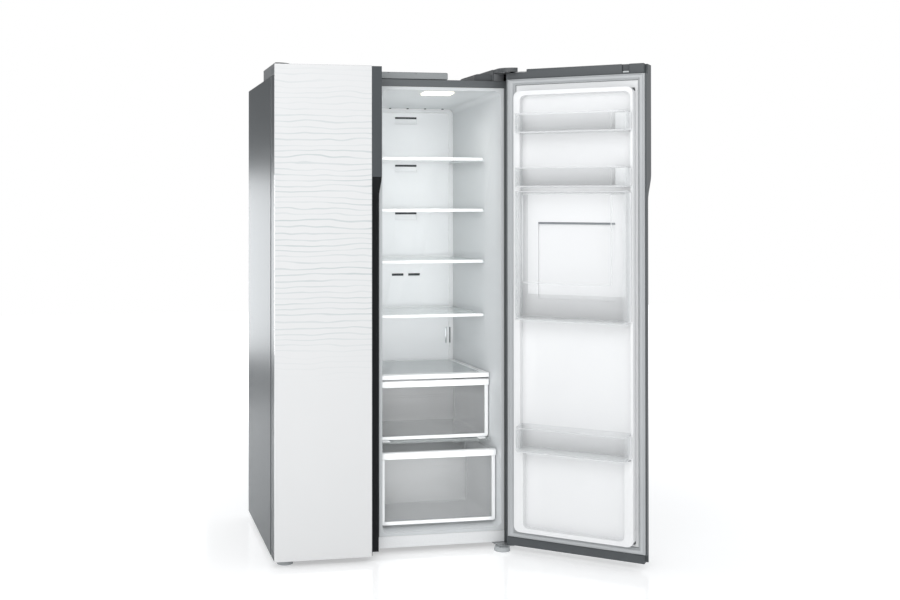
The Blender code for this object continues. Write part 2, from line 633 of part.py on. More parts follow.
# ---------------------------------------------------------------- machine room
def build_machine_room():
    floor_top = CABINET_BOTTOM + 2 * SHEET + GAP
    middle_y = CABINET_DEPTH - MACHINE_ROOM_DEPTH / 2
    compressor = add_cylinder("compressor", (-0.27, middle_y, floor_top + COMPRESSOR_HEIGHT / 2 + 0.010),
                              COMPRESSOR_RADIUS, COMPRESSOR_HEIGHT, material="black_steel", segments=28)
    ease_edges(compressor, 0.028, 3)
    foot_reach = COMPRESSOR_RADIUS + 0.012
    join(compressor, add_box("compressor_feet", (-0.27 - foot_reach, middle_y - 0.055, floor_top),
                             (-0.27 + foot_reach, middle_y + 0.055, floor_top + 0.020), cutter=True))

    pan = add_box("drain_pan", (0.03, middle_y - 0.075, floor_top),
                  (0.33, middle_y + 0.075, floor_top + 0.035), material="white_plastic")
    cut(pan, add_box("drain_pan_inside", (0.033, middle_y - 0.072, floor_top + 0.003),
                     (0.327, middle_y + 0.072, BIG), cutter=True))
    build_condenser_coil(middle_y, floor_top + 0.050)
    build_condenser_fan(middle_y)
    build_machine_cover()


def build_condenser_coil(middle_y, bottom):
    """One copper tube folded back and forth above the drain pan."""
    left, right, pitch = 0.055, 0.305, 0.024
    bend = pitch / 2
    points = []
    for run in range(COIL_RUNS):
        height = bottom + run * pitch
        ends = (left, right) if run % 2 == 0 else (right, left)
        points += [(ends[0], middle_y, height), (ends[1], middle_y, height)]
        if run < COIL_RUNS - 1:
            outward = 1 if ends[1] == right else -1
            for step in range(1, 6):
                angle = -math.pi / 2 + math.pi * step / 6
                points.append((ends[1] + outward * bend * math.cos(angle), middle_y,
                               height + bend + bend * math.sin(angle)))
    curve = bpy.data.curves.new("condenser_coil", "CURVE")
    curve.dimensions = "3D"
    curve.bevel_depth = COIL_TUBE
    curve.bevel_resolution = 2
    curve.use_fill_caps = True
    spline = curve.splines.new("POLY")
    spline.points.add(len(points) - 1)
    for point, place in zip(spline.points, points):
        point.co = (*place, 1.0)
    add_object("condenser_coil", curve, (0, 0, 0), cabinet, "copper")


def build_condenser_fan(middle_y):
    """Fan between the compressor and the coil, blowing along the cabinet's width."""
    centre = (-0.085, middle_y, CABINET_BOTTOM + 0.095)
    frame = add_frame("condenser_fan_axis", centre, parent=cabinet)
    fan = add_cylinder("condenser_fan", centre, 0.018, 0.022, frame, "black_steel", axis="X", segments=20)
    for blade in range(FAN_BLADES):
        angle = 2 * math.pi * blade / FAN_BLADES
        length = FAN_RADIUS - 0.014
        reach = 0.014 + length / 2
        place = (centre[0], centre[1] + reach * math.sin(angle), centre[2] + reach * math.cos(angle))
        paddle = add_box(f"fan_blade_{blade}", (-0.001, -0.019, -length / 2), (0.001, 0.019, length / 2),
                         frame, cutter=True)
        paddle.location = Vector(place) - Vector(centre)
        turn = Matrix.Rotation(-angle, 3, "X") @ Matrix.Rotation(math.radians(35), 3, "Z")
        paddle.rotation_euler = turn.to_euler()
        join(fan, paddle)


def build_machine_cover():
    """Slotted cover over the back of the machine room, with the mains inlet."""
    low = (-HALF + SHEET + GAP, CABINET_DEPTH - SHEET, CABINET_BOTTOM + 2 * SHEET + GAP)
    high = (HALF - SHEET - GAP, CABINET_DEPTH, MACHINE_ROOM_TOP - GAP)
    cover = add_box("machine_room_cover", low, high, material="black_steel")
    slot_count, slot_pitch = 18, 0.030
    first = -slot_pitch * (slot_count - 1) / 2 - 0.03
    slot = add_box("cover_slot", (first, 0, low[2] + 0.05), (first + 0.010, BIG, high[2] - 0.05), cutter=True)
    array = slot.modifiers.new("slots", "ARRAY")
    array.count = slot_count
    array.use_relative_offset = False
    array.use_constant_offset = True
    array.constant_offset_displace = (slot_pitch, 0, 0)
    cut(cover, slot)
    inlet_x, inlet_z = HALF - 0.085, MACHINE_ROOM_TOP - 0.060
    inlet = add_box("mains_inlet", (inlet_x - 0.024, CABINET_DEPTH + GAP, inlet_z - 0.016),
                    (inlet_x + 0.024, CABINET_DEPTH + 0.012, inlet_z + 0.016), material="dark_plastic")
    round_edges(inlet, 0.004, "Y", 2)
    cut(inlet, add_box("inlet_socket", (inlet_x - 0.012, CABINET_DEPTH + 0.003, inlet_z - 0.008),
                       (inlet_x + 0.012, BIG, inlet_z + 0.008), cutter=True))


# ---------------------------------------------------------------- inside of the fridge compartment
def wall_rectangle(opening, y, clearance, z_low, z_high):
    """Rectangle across a compartment at a depth, a clearance in from both side walls."""
    return (y, compartment_left(opening, y) + clearance, compartment_right(opening, y) - clearance,
            z_low, z_high)


def add_between_walls(name, opening, y_front, y_rear, clearance, z_low, z_high, material="white_plastic",
                      cutter=False, frame=cabinet):
    """A block that follows the drafted side walls of a compartment."""
    return add_tapered(name, wall_rectangle(opening, y_front, clearance, z_low, z_high),
                       wall_rectangle(opening, y_rear, clearance, z_low, z_high), frame, material, cutter)


def build_duct_panels():
    """Plastic panels over the air ducts at the back, with the air slots."""
    bottom = STEP_TOP + 0.010
    for name, opening in (("fridge", FRIDGE_OPENING), ("freezer", FREEZER_OPENING)):
        clearance = OPENING_RADIUS * 0.3
        panel = add_between_walls(f"{name}_duct_panel", opening, PANEL_FRONT, PANEL_FRONT + DUCT_PANEL,
                                  clearance, bottom, ceiling(PANEL_FRONT + DUCT_PANEL) - clearance)
        middle = sum(opening) / 2
        tops = [height + 0.180 for height in shelf_heights()[1:]] if name == "fridge" else \
               [CABINET_TOP - 0.25, CABINET_TOP - 0.75, CABINET_TOP - 1.15]
        for number, top in enumerate(tops):
            cut(panel, add_box(f"{name}_slot_{number}", (middle - SLOT_WIDTH / 2, 0, top - SLOT_HEIGHT),
                               (middle + SLOT_WIDTH / 2, PANEL_FRONT + SLOT_DEPTH, top), cutter=True))
        if name == "fridge":
            low_slot = shelf_heights()[0] + 0.135
            for face in (-1, 1):
                edges = sorted((middle + face * 0.010, middle + face * 0.060))
                cut(panel, add_box(f"{name}_low_slot_{face + 1}", (edges[0], 0, low_slot - 0.010),
                                   (edges[1], PANEL_FRONT + SLOT_DEPTH, low_slot), cutter=True))


def build_evaporator():
    """Finned block in the freezer's duct, which cools both compartments."""
    middle = sum(FREEZER_OPENING) / 2
    front = PANEL_FRONT + DUCT_PANEL + GAP
    evaporator = add_box("evaporator", (middle - 0.115, front, 0.62),
                         (middle + 0.115, CAVITY_DEPTH - LINER - 0.002, 0.92), material="aluminium")
    for number in range(5):
        x = middle - 0.092 + number * 0.046
        cut(evaporator, add_box(f"fin_gap_{number}", (x - 0.007, 0, 0.65), (x + 0.007, front + 0.012, 0.89),
                                cutter=True))


def add_shelf(name, opening, top, front, frame, trim_height=SHELF_TRIM, material="clear_glass"):
    """Glass shelf with a moulded trim round its edges, highest at the front."""
    rear = PANEL_FRONT - SHELF_REAR
    shelf = add_between_walls(name, opening, front + SHELF_TRIM_DEPTH / 2, rear, SHELF_CLEARANCE,
                              top - SHELF_GLASS, top, material, frame=frame)
    trim_top = top + 0.001
    trim = add_between_walls(f"{name}_trim", opening, front, front + SHELF_TRIM_DEPTH, SHELF_CLEARANCE,
                             trim_top - trim_height, trim_top, cutter=True, frame=frame)
    round_edges(trim, 0.003, "X", 2)
    join(shelf, trim)
    return shelf


def build_shelves():
    """Four glass shelves of the fridge and two fixed ones of the freezer."""
    for number, top in enumerate(shelf_heights()):
        frame = add_frame(f"glass_shelf_{number + 1}_slide", (0, SHELF_FRONT, top), parent=cabinet)
        add_shelf(f"glass_shelf_{number + 1}", FRIDGE_OPENING, top, SHELF_FRONT, frame)
    for number, top in enumerate(freezer_shelf_heights()):
        add_shelf(f"freezer_shelf_{number + 1}", FREEZER_OPENING, top, SHELF_FRONT, cabinet)


def freezer_shelf_heights():
    heights = shelf_heights()
    return [heights[0], heights[2]]


def build_drawer_covers():
    """White framed shelf over the upper drawer, and the glass cover over the lower one."""
    rear = PANEL_FRONT - SHELF_REAR
    cover = add_between_walls("crisper_shelf", FRIDGE_OPENING, COVER_FRAME_FRONT, rear, SHELF_CLEARANCE / 2,
                              COVER_FRAME_BOTTOM, COVER_FRAME_TOP)
    round_edges(cover, 0.004, "X", 2, side=1)
    cut(cover, add_between_walls("crisper_glass_seat", FRIDGE_OPENING, COVER_FRAME_FRONT + 0.030,
                                 rear - 0.020, 0.028, COVER_FRAME_TOP - 0.001, ABOVE, cutter=True))
    cut(cover, add_between_walls("crisper_under", FRIDGE_OPENING, COVER_FRAME_FRONT + 0.010,
                                 rear - 0.010, 0.014, 0, COVER_FRAME_TOP - 0.006, cutter=True))
    middle = add_between_walls("lower_drawer_cover", FRIDGE_OPENING, MIDDLE_COVER_FRONT, rear,
                               SHELF_CLEARANCE / 2, MIDDLE_COVER_BOTTOM, MIDDLE_COVER_TOP,
                               material="clear_glass")
    round_edges(middle, 0.002, "X", 2)


def build_drawer(name, opening, front, rear, bottom, top, frame, material="clear_plastic"):
    """Clear tub with a white front frame whose top rail is the pull."""
    tub_front = front + DRAWER_FRAME + (GAP if frame is not cabinet else -GAP)
    tub_top = top - 0.006
    tub = add_between_walls(name, opening, tub_front, rear, DRAWER_CLEARANCE, bottom, tub_top, material,
                            frame=frame)
    round_edges(tub, 0.012, "Y", 3, side=-1)
    inside = add_between_walls(f"{name}_inside", opening, tub_front + DRAWER_WALL, rear - DRAWER_WALL,
                               DRAWER_CLEARANCE + DRAWER_WALL, bottom + DRAWER_WALL, ABOVE, cutter=True,
                               frame=frame)
    round_edges(inside, 0.010, "Y", 3, side=-1)
    cut(tub, inside)

    face = add_between_walls(f"{name}_front", opening, front, front + DRAWER_FRAME, DRAWER_CLEARANCE / 2,
                             bottom, top, frame=frame)
    round_edges(face, 0.010, "Y", 3, side=-1)
    window = add_between_walls(f"{name}_window", opening, front - BIG, front + BIG / 4,
                               DRAWER_STILE + DRAWER_CLEARANCE / 2,
                               bottom + DRAWER_STILE, top - DRAWER_RIM, cutter=True, frame=frame)
    for vertex in window.data.vertices:
        side_x = compartment_left(opening, front) if vertex.co.x < sum(opening) / 2 else \
            compartment_right(opening, front)
        inward = 1 if vertex.co.x < sum(opening) / 2 else -1
        vertex.co.x = side_x + inward * (DRAWER_STILE + DRAWER_CLEARANCE / 2)
    cut(face, window)
    rail = add_between_walls(f"{name}_rail", opening, front - RIM_REACH, front + DRAWER_FRAME / 2,
                             DRAWER_CLEARANCE / 2 + 0.0005, top - DRAWER_RIM + 0.0005, top - 0.0005,
                             cutter=True, frame=frame)
    round_edges(rail, 0.004, "X", 2)
    join(face, rail)
    return tub, face


def build_drawers():
    """Two crisper drawers of the fridge that slide out, and the fixed drawer of the freezer."""
    upper = add_frame("upper_drawer_slide", (0, UPPER_DRAWER_FRONT, UPPER_DRAWER_BOTTOM), parent=cabinet)
    build_drawer("upper_drawer", FRIDGE_OPENING, UPPER_DRAWER_FRONT, PANEL_FRONT - 0.055,
                 UPPER_DRAWER_BOTTOM, UPPER_DRAWER_TOP, upper)
    lower = add_frame("lower_drawer_slide", (0, LOWER_DRAWER_FRONT, LOWER_DRAWER_BOTTOM), parent=cabinet)
    build_drawer("lower_drawer", FRIDGE_OPENING, LOWER_DRAWER_FRONT, STEP_FRONT - 0.012,
                 LOWER_DRAWER_BOTTOM, LOWER_DRAWER_TOP, lower)
    tub, face = build_drawer("freezer_drawer", FREEZER_OPENING, LOWER_DRAWER_FRONT, STEP_FRONT - 0.012,
                             LOWER_DRAWER_BOTTOM, LOWER_DRAWER_TOP, cabinet)
    parts.objects.unlink(face)
    cutters.objects.link(face)
    face.hide_render = True
    face.display_type = "WIRE"
    join(tub, face)


def build_ceiling_light():
    """Flat lens of the ceiling light, parallel to the drafted ceiling."""
    middle = sum(FRIDGE_OPENING) / 2
    y = 0.062
    thickness = 0.005
    lens = add_box("ceiling_light_lens", (middle - 0.058, y - 0.034, 0),
                   (middle + 0.058, y + 0.034, thickness), material="clear_plastic")
    round_edges(lens, 0.008, "Z", 3)
    lens.rotation_euler.x = -math.atan(CEILING_DRAFT)
    lens.location.z = ceiling(y) - thickness / 2 - 2 * GAP


# ---------------------------------------------------------------- doors
class Door:
    """Frame and measures of one door; distances s run from its hinge side to its free edge."""

    def __init__(self, name, side, width, turn):
        self.name = name
        self.side = side
        self.width = width
        self.frame = add_frame(f"{name}_door_hinge", (side * HINGE_X, HINGE_Y, 0), turn, cabinet)

    def across(self, s_near, s_far):
        return sorted((self.side * (HALF - s_near), self.side * (HALF - s_far)))

    def block(self, name, s, y, z, material="white_plastic", cutter=False):
        x = self.across(*s)
        return add_box(f"{self.name}_{name}", (x[0], y[0], z[0]), (x[1], y[1], z[1]), self.frame, material,
                       cutter)

    def pin_hole(self, name, z_low, z_high):
        return add_cylinder(f"{self.name}_{name}", (self.side * HINGE_X, HINGE_Y, (z_low + z_high) / 2),
                            PIN_RADIUS + PIN_CLEARANCE, z_high - z_low, self.frame, segments=24, cutter=True)


def build_door_shell(door):
    """Glass front, steel skinned foam body, end caps and edge trim."""
    glass_end = door.width - EDGE_TRIM - GAP
    body_end = door.width - EDGE_TRIM - TRIM_TUCK - GAP
    cap_end = door.width - 0.0086
    body_y = (GLASS_BACK + GAP, -DOOR_BACK)
    top_seam = DOOR_TOP - TOP_CAP
    bottom_seam = DOOR_BOTTOM + BOTTOM_CAP

    glass = door.block("door_glass", (0, glass_end), (-DOOR_FRONT, GLASS_BACK), (DOOR_BOTTOM, DOOR_TOP),
                       "white_glass")
    ease_edges(glass, 0.0008)

    body = door.block("door_body", (GAP, body_end), body_y, (bottom_seam + GAP, top_seam - GAP),
                      "painted_steel")
    ring_s = ring_span(door, LINER_SHEET + GAP)
    behind_ring = ring_height(LINER_SHEET + GAP)
    join(body, door.block("door_foam_bulge", (ring_s[0], body_end), (-DOOR_BACK - 0.002, -LINER_SHEET - GAP),
                          behind_ring, cutter=True))
    join(body, door.block("door_foam_bulge_edge", (body_end - 0.01, ring_s[1]),
                          (-DOOR_BACK + GAP, -LINER_SHEET - GAP), behind_ring, cutter=True))

    top_cap = door.block("door_top_cap", (GAP, cap_end), body_y, (top_seam, DOOR_TOP - 0.0006),
                         "dark_plastic")
    cut(top_cap, door.block("door_cap_recess", (-BIG, RECESS_WIDTH), (-BIG, BIG),
                            (DOOR_TOP - RECESS_DEPTH, ABOVE), cutter=True))
    cut(top_cap, door.pin_hole("door_top_bore", DOOR_TOP - RECESS_DEPTH - PIN_ENGAGED - 0.002, DOOR_TOP))
    cut(top_cap, door.block("door_cap_notch", (door.width - 0.085, door.width - 0.059),
                            (-DOOR_BACK - 0.012, BIG), (top_seam + 0.005, ABOVE), cutter=True))
    trim_room = door.block("door_cap_trim_room", (body_end + GAP / 2, BIG),
                           (-BIG, -DOOR_FRONT + CHANNEL_DEPTH + 0.006), (0, ABOVE), cutter=True)
    cut(top_cap, trim_room)

    bottom_cap = door.block("door_bottom_cap", (GAP, cap_end), body_y, (DOOR_BOTTOM, bottom_seam),
                            "dark_plastic")
    cut(bottom_cap, door.pin_hole("door_bottom_bore", 0, DOOR_BOTTOM + PIN_ENGAGED + 0.002))
    cut(bottom_cap, trim_room)
    build_edge_trim(door, top_seam, bottom_seam)


def build_edge_trim(door, top_seam, bottom_seam):
    """Trim down the free edge: flush above, with a finger channel that runs out in a scoop below."""
    start = door.width - EDGE_TRIM - TRIM_TUCK
    trim = door.block("door_edge_trim", (start, door.width - EDGE_TRIM - GAP), (GLASS_BACK + GAP, -DOOR_BACK),
                      (bottom_seam + GAP, top_seam - GAP), "dark_plastic")
    join(trim, door.block("door_trim_front", (door.width - EDGE_TRIM - 0.001, door.width),
                          (-DOOR_FRONT + 0.0006, -DOOR_FRONT + CHANNEL_DEPTH + 0.005),
                          (DOOR_BOTTOM + TRIM_DROP, DOOR_TOP - TRIM_DROP), cutter=True))
    join(trim, door.block("door_trim_flange", (door.width - EDGE_TRIM - 0.001, door.width),
                          (-DOOR_FRONT + CHANNEL_DEPTH + 0.004, -DOOR_BACK),
                          (bottom_seam + GAP, top_seam - GAP), cutter=True))
    cut(trim, door.block("door_trim_glass_room", (start - 0.01, door.width - EDGE_TRIM),
                         (-BIG, GLASS_BACK + GAP), (-BIG, ABOVE), cutter=True))

    x = door.across(door.width - EDGE_TRIM + 0.0012, door.width + 0.01)
    channel = add_channel_cutter(f"{door.name}_door_channel", x, door.frame)
    cut(trim, channel)
    grip = door.block("door_grip", (door.width - EDGE_TRIM - GRIP_TUCK, door.width - EDGE_TRIM + 0.002),
                      (GLASS_BACK + LIP, -DOOR_FRONT + CHANNEL_DEPTH),
                      (bottom_seam + 0.04, CHANNEL_TOP - 0.03), cutter=True)
    round_edges(grip, 0.006, "Z", 3)
    cut(trim, grip)


def add_channel_cutter(name, x, frame):
    """Outline in the Y-Z plane, extruded across the trim: a deep channel whose top eases out to the front."""
    floor_y = -DOOR_FRONT + CHANNEL_DEPTH
    outline = [(-DOOR_FRONT - 0.05, -0.05), (floor_y, -0.05)]
    steps = 8
    for step in range(steps + 1):
        share = step / steps
        ease = (1 - math.cos(math.pi * share)) / 2
        outline.append((floor_y - CHANNEL_DEPTH * ease, CHANNEL_TOP + SCOOP_RISE * share))
    outline += [(-DOOR_FRONT - 0.05, CHANNEL_TOP + SCOOP_RISE)]
    builder = bmesh.new()
    near = [builder.verts.new((0, y, z)) for y, z in outline]
    face = builder.faces.new(near)
    extruded = bmesh.ops.extrude_face_region(builder, geom=[face])
    moved = [v for v in extruded["geom"] if isinstance(v, bmesh.types.BMVert)]
    bmesh.ops.translate(builder, vec=(x[1] - x[0], 0, 0), verts=moved)
    bmesh.ops.recalc_face_normals(builder, faces=builder.faces)
    return add_object(name, finish_mesh(name, builder), (x[0], 0, 0), frame, None, cutter=True)


def ring_span(door, inset=0.0):
    return (RING_INSET + inset, door.width - RING_FREE_INSET - inset)


def ring_height(inset=0.0):
    return (DOOR_BOTTOM + RING_BOTTOM_END + inset, DOOR_TOP - RING_TOP_END - inset)


def pocket_span(door, step=0.0):
    return (RING_INSET + POCKET_HINGE_SIDE + step / 2, door.width - RING_FREE_INSET - POCKET_FREE_SIDE - step)


def build_door_liner(door, with_bar_panel):
    """Formed white liner: a flange under the gasket, a raised ring and a pocket between its sides."""
    gasket_s = (GASKET_INSET, door.width - GASKET_FREE_INSET)
    gasket_z = (DOOR_BOTTOM + GASKET_BOTTOM_INSET, DOOR_TOP - GASKET_TOP_INSET)
    flange_y = (-DOOR_BACK + GAP, -DOOR_BACK + GAP + LINER_SHEET)
    liner = door.block("door_liner", gasket_s, flange_y, gasket_z)
    ring = door.block("door_ring", ring_span(door), (-DOOR_BACK + GAP, RING_HEIGHT), ring_height(),
                      cutter=True)
    join(liner, round_edges(ring, 0.022, "Y", 4))
    upper_low = LOWER_BIN_BOTTOM - 0.006
    upper = door.block("door_pocket", pocket_span(door), (0, BIG),
                       (upper_low, ring_height()[1] - POCKET_END), cutter=True)
    cut(liner, round_edges(upper, 0.020, "Y", 4, side=1))
    lower = door.block("door_lower_pocket", pocket_span(door, LOWER_POCKET_STEP), (0, BIG),
                       (ring_height()[0] + POCKET_END, upper_low + 0.0002), cutter=True)
    cut(liner, round_edges(lower, 0.020, "Y", 4, side=-1))
    back = door.block("door_liner_back", ring_span(door, LINER_SHEET), (-BIG, -LINER_SHEET),
                      ring_height(LINER_SHEET), cutter=True)
    cut(liner, back)
    if with_bar_panel:
        build_bar_panel(door, liner)

    gasket = door.block("door_gasket", gasket_s, (flange_y[1] + GAP, -GASKET_AIR), gasket_z, "gasket_rubber")
    round_edges(gasket, 0.006, "Y", 2)
    inside_s = (gasket_s[0] + GASKET_WIDTH + 0.010, gasket_s[1] - GASKET_WIDTH)
    cut(gasket, door.block("door_gasket_inside", inside_s, (-BIG, BIG),
                           (gasket_z[0] + GASKET_WIDTH, gasket_z[1] - GASKET_WIDTH), cutter=True))


def build_bar_panel(door, liner):
    """Shallow recess in the liner behind the bottles, and its seat in the door body."""
    body = bpy.data.objects[f"{door.name}_door_body"]
    middle = sum(pocket_span(door)) / 2
    z_high = bar_bin_top() - BAR_PANEL_DROP
    z_low = z_high - BAR_PANEL_HEIGHT
    border = BAR_PANEL_BORDER
    boss = (middle - BAR_PANEL_HALF, middle + BAR_PANEL_HALF)
    join(liner, door.block("door_panel_boss", boss, (-BAR_PANEL_BACK, -LINER_SHEET / 2),
                           (z_low - border, z_high + border), cutter=True))
    cut(body, door.block("door_panel_seat", (boss[0] - GAP, boss[1] + GAP), (-BAR_PANEL_BACK - GAP, BIG),
                         (z_low - border - GAP, z_high + border + GAP), cutter=True))
    cut(liner, door.block("door_panel", (boss[0] + border, boss[1] - border), (-BAR_PANEL_DEPTH, BIG),
                          (z_low, z_high), cutter=True))


def build_bin(door, name, bottom, top, reach, window=None, end_block=False):
    """Clear bin between the sides of the pocket, open at the top, with a thicker rim."""
    near, far = pocket_span(door)
    s = (near + BIN_SPACE, far - BIN_SPACE)
    bin_body = door.block(name, s, (GAP, reach), (bottom, top), "clear_plastic")
    weight_front_corners(bin_body, BIN_CORNER, 5)
    inside = door.block(name + "_inside", (s[0] + BIN_WALL, s[1] - BIN_WALL),
                        (GAP + BIN_WALL, reach - BIN_WALL), (bottom + BIN_WALL, ABOVE), cutter=True)
    weight_front_corners(inside, BIN_CORNER - BIN_WALL, 5)
    cut(bin_body, inside)
    if window:
        opening = door.block(name + "_window", (s[0] + BAR_WINDOW_HINGE_SIDE, s[1] - BAR_WINDOW_FREE_SIDE),
                             (reach - 0.02, BIG), window, cutter=True)
        cut(bin_body, round_edges(opening, 0.010, "Y", 3))
        back = door.block(name + "_back_window", (s[0] + 0.02, s[1] - 0.02), (-BIG, 0.01),
                          (bottom + LOWER_BIN_HEIGHT, top - 0.012), cutter=True)
        cut(bin_body, back)
    if end_block:
        block = door.block(name + "_end", (s[1] - BIN_WALL - END_BLOCK_WIDTH, s[1] - BIN_WALL / 2),
                           (reach - END_BLOCK_DEPTH, reach - BIN_WALL / 2),
                           (bottom + BIN_WALL / 2, top - 0.002), cutter=True)
        join(bin_body, weight_front_corners(block, BIN_CORNER - BIN_WALL / 2, 5, far_only=True))
    return bin_body


def weight_front_corners(obj, radius, segments, far_only=False):
    """Rounds the two upright edges on the side of an object that faces into the cabinet."""
    mesh = obj.data
    side = 1 if obj.parent["origin"][0] > 0 else -1
    weights = mesh.attributes.new("bevel_weight_edge", "FLOAT", "EDGE")
    for edge in mesh.edges:
        a, b = (mesh.vertices[i].co for i in edge.vertices)
        upright = abs((b - a).normalized().z) > 0.9
        corner = a.y > 0 and (not far_only or a.x * side < 0)
        weights.data[edge.index].value = 1.0 if upright and corner else 0.0
    bevel = obj.modifiers.new("rounded_corners", "BEVEL")
    bevel.limit_method = "WEIGHT"
    bevel.width = radius
    bevel.segments = segments
    return obj


def bar_bin_top():
    return DOOR_TOP - TOP_BIN_DROP - SMALL_BIN_HEIGHT - BIN_PITCH - BAR_BIN_GAP


def build_fridge_bins(door):
    top = DOOR_TOP - TOP_BIN_DROP
    build_bin(door, "door_bin_1", top - SMALL_BIN_HEIGHT, top, BIN_REACH, end_block=True)
    second = top - BIN_PITCH
    build_bin(door, "door_bin_2", second - SMALL_BIN_HEIGHT, second, BIN_REACH, end_block=True)
    bar_top = bar_bin_top()
    build_bin(door, "bottle_bin", bar_top - BAR_BIN_HEIGHT, bar_top, BIN_REACH,
              window=(bar_top - BAR_WINDOW_TOP - BAR_WINDOW_HEIGHT, bar_top - BAR_WINDOW_TOP))
    build_bin(door, "lower_bin", LOWER_BIN_BOTTOM, LOWER_BIN_BOTTOM + LOWER_BIN_HEIGHT, LOWER_BIN_REACH)


# ---------------------------------------------------------------- assembly
build_outer_case()
build_insulation()
build_rear_panel()
build_base_plate()
build_centre_strip()
build_base_cover()
build_wiring_cover()
build_top_hinges()
build_bottom_hinges()
build_rollers()
build_feet()
build_machine_room()

build_liner("fridge_liner", FRIDGE_OPENING,
            [height - SHELF_GLASS - GAP for height in shelf_heights()]
            + [COVER_FRAME_BOTTOM - GAP, MIDDLE_COVER_BOTTOM - GAP])
build_liner("freezer_liner", FREEZER_OPENING,
            [height - SHELF_GLASS - GAP for height in freezer_shelf_heights()])
build_duct_panels()
build_evaporator()
build_shelves()
build_drawer_covers()
build_drawers()
build_ceiling_light()

freezer_door = Door("freezer", -1, FREEZER_DOOR_WIDTH, 0.0)
fridge_door = Door("fridge", 1, FRIDGE_DOOR_WIDTH, OPEN_TURN)
for each_door in (freezer_door, fridge_door):
    build_door_shell(each_door)
    build_door_liner(each_door, with_bar_panel=each_door is fridge_door)
build_fridge_bins(fridge_door)


def centre_on_floor():
    """Moves the cabinet frame so that the whole object's box stands centred on the origin."""
    bpy.context.view_layer.update()
    graph = bpy.context.evaluated_depsgraph_get()
    corners = []
    for obj in parts.objects:
        if obj.type != "EMPTY":
            seen = obj.evaluated_get(graph)
            mesh = seen.to_mesh()
            corners += [seen.matrix_world @ vertex.co for vertex in mesh.vertices]
            seen.to_mesh_clear()
    low = [min(corner[axis] for corner in corners) for axis in range(3)]
    high = [max(corner[axis] for corner in corners) for axis in range(3)]
    cabinet.location = (-(low[0] + high[0]) / 2, -(low[1] + high[1]) / 2, -low[2])
    bpy.context.view_layer.update()


centre_on_floor()
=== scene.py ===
"""Looks of a side by side refrigerator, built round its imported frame, from the steel case to the studio."""
import json
import math

import bmesh
import bpy
from mathutils import Matrix, Vector

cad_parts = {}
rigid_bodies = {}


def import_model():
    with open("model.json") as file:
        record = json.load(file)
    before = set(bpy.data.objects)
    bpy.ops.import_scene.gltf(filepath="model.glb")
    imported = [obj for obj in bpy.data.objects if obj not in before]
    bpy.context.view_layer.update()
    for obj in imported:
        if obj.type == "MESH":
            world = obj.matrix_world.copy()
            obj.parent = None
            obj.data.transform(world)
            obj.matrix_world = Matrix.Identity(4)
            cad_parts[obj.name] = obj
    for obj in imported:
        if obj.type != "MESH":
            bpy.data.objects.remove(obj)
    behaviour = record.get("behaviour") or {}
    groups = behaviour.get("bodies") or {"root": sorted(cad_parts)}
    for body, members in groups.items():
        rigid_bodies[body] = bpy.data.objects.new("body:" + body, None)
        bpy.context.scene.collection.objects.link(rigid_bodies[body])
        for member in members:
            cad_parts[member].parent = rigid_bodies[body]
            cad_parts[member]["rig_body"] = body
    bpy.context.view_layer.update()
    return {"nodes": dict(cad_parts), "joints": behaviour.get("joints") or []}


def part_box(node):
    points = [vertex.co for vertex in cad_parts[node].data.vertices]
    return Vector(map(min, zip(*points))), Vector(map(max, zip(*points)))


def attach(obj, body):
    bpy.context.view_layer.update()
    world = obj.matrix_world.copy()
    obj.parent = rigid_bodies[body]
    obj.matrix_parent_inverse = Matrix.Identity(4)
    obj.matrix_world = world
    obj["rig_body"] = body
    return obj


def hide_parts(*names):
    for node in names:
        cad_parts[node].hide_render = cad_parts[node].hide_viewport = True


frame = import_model()
nodes = frame["nodes"]

# ---------------------------------------------------------------- outer case
# Folded steel sheet, coated in a satin metallic grey. The folds have small outer radii. A strip of the same
# sheet covers the wall between the two compartments.
CASE_FOLD = 0.0011
case_low, case_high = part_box("outer_case")
middle_x = (case_low.x + case_high.x) / 2
front_y = case_low.y


def map_range(tree, source, start, end, low=0.0, high=1.0, smooth=False):
    """The socket of a Map Range node that reads a socket."""
    node = tree.nodes.new("ShaderNodeMapRange")
    node.interpolation_type = "SMOOTHSTEP" if smooth else "LINEAR"
    for name, value in (("From Min", start), ("From Max", end), ("To Min", low), ("To Max", high)):
        node.inputs[name].default_value = value
    tree.links.new(source, node.inputs["Value"])
    return node.outputs["Result"]


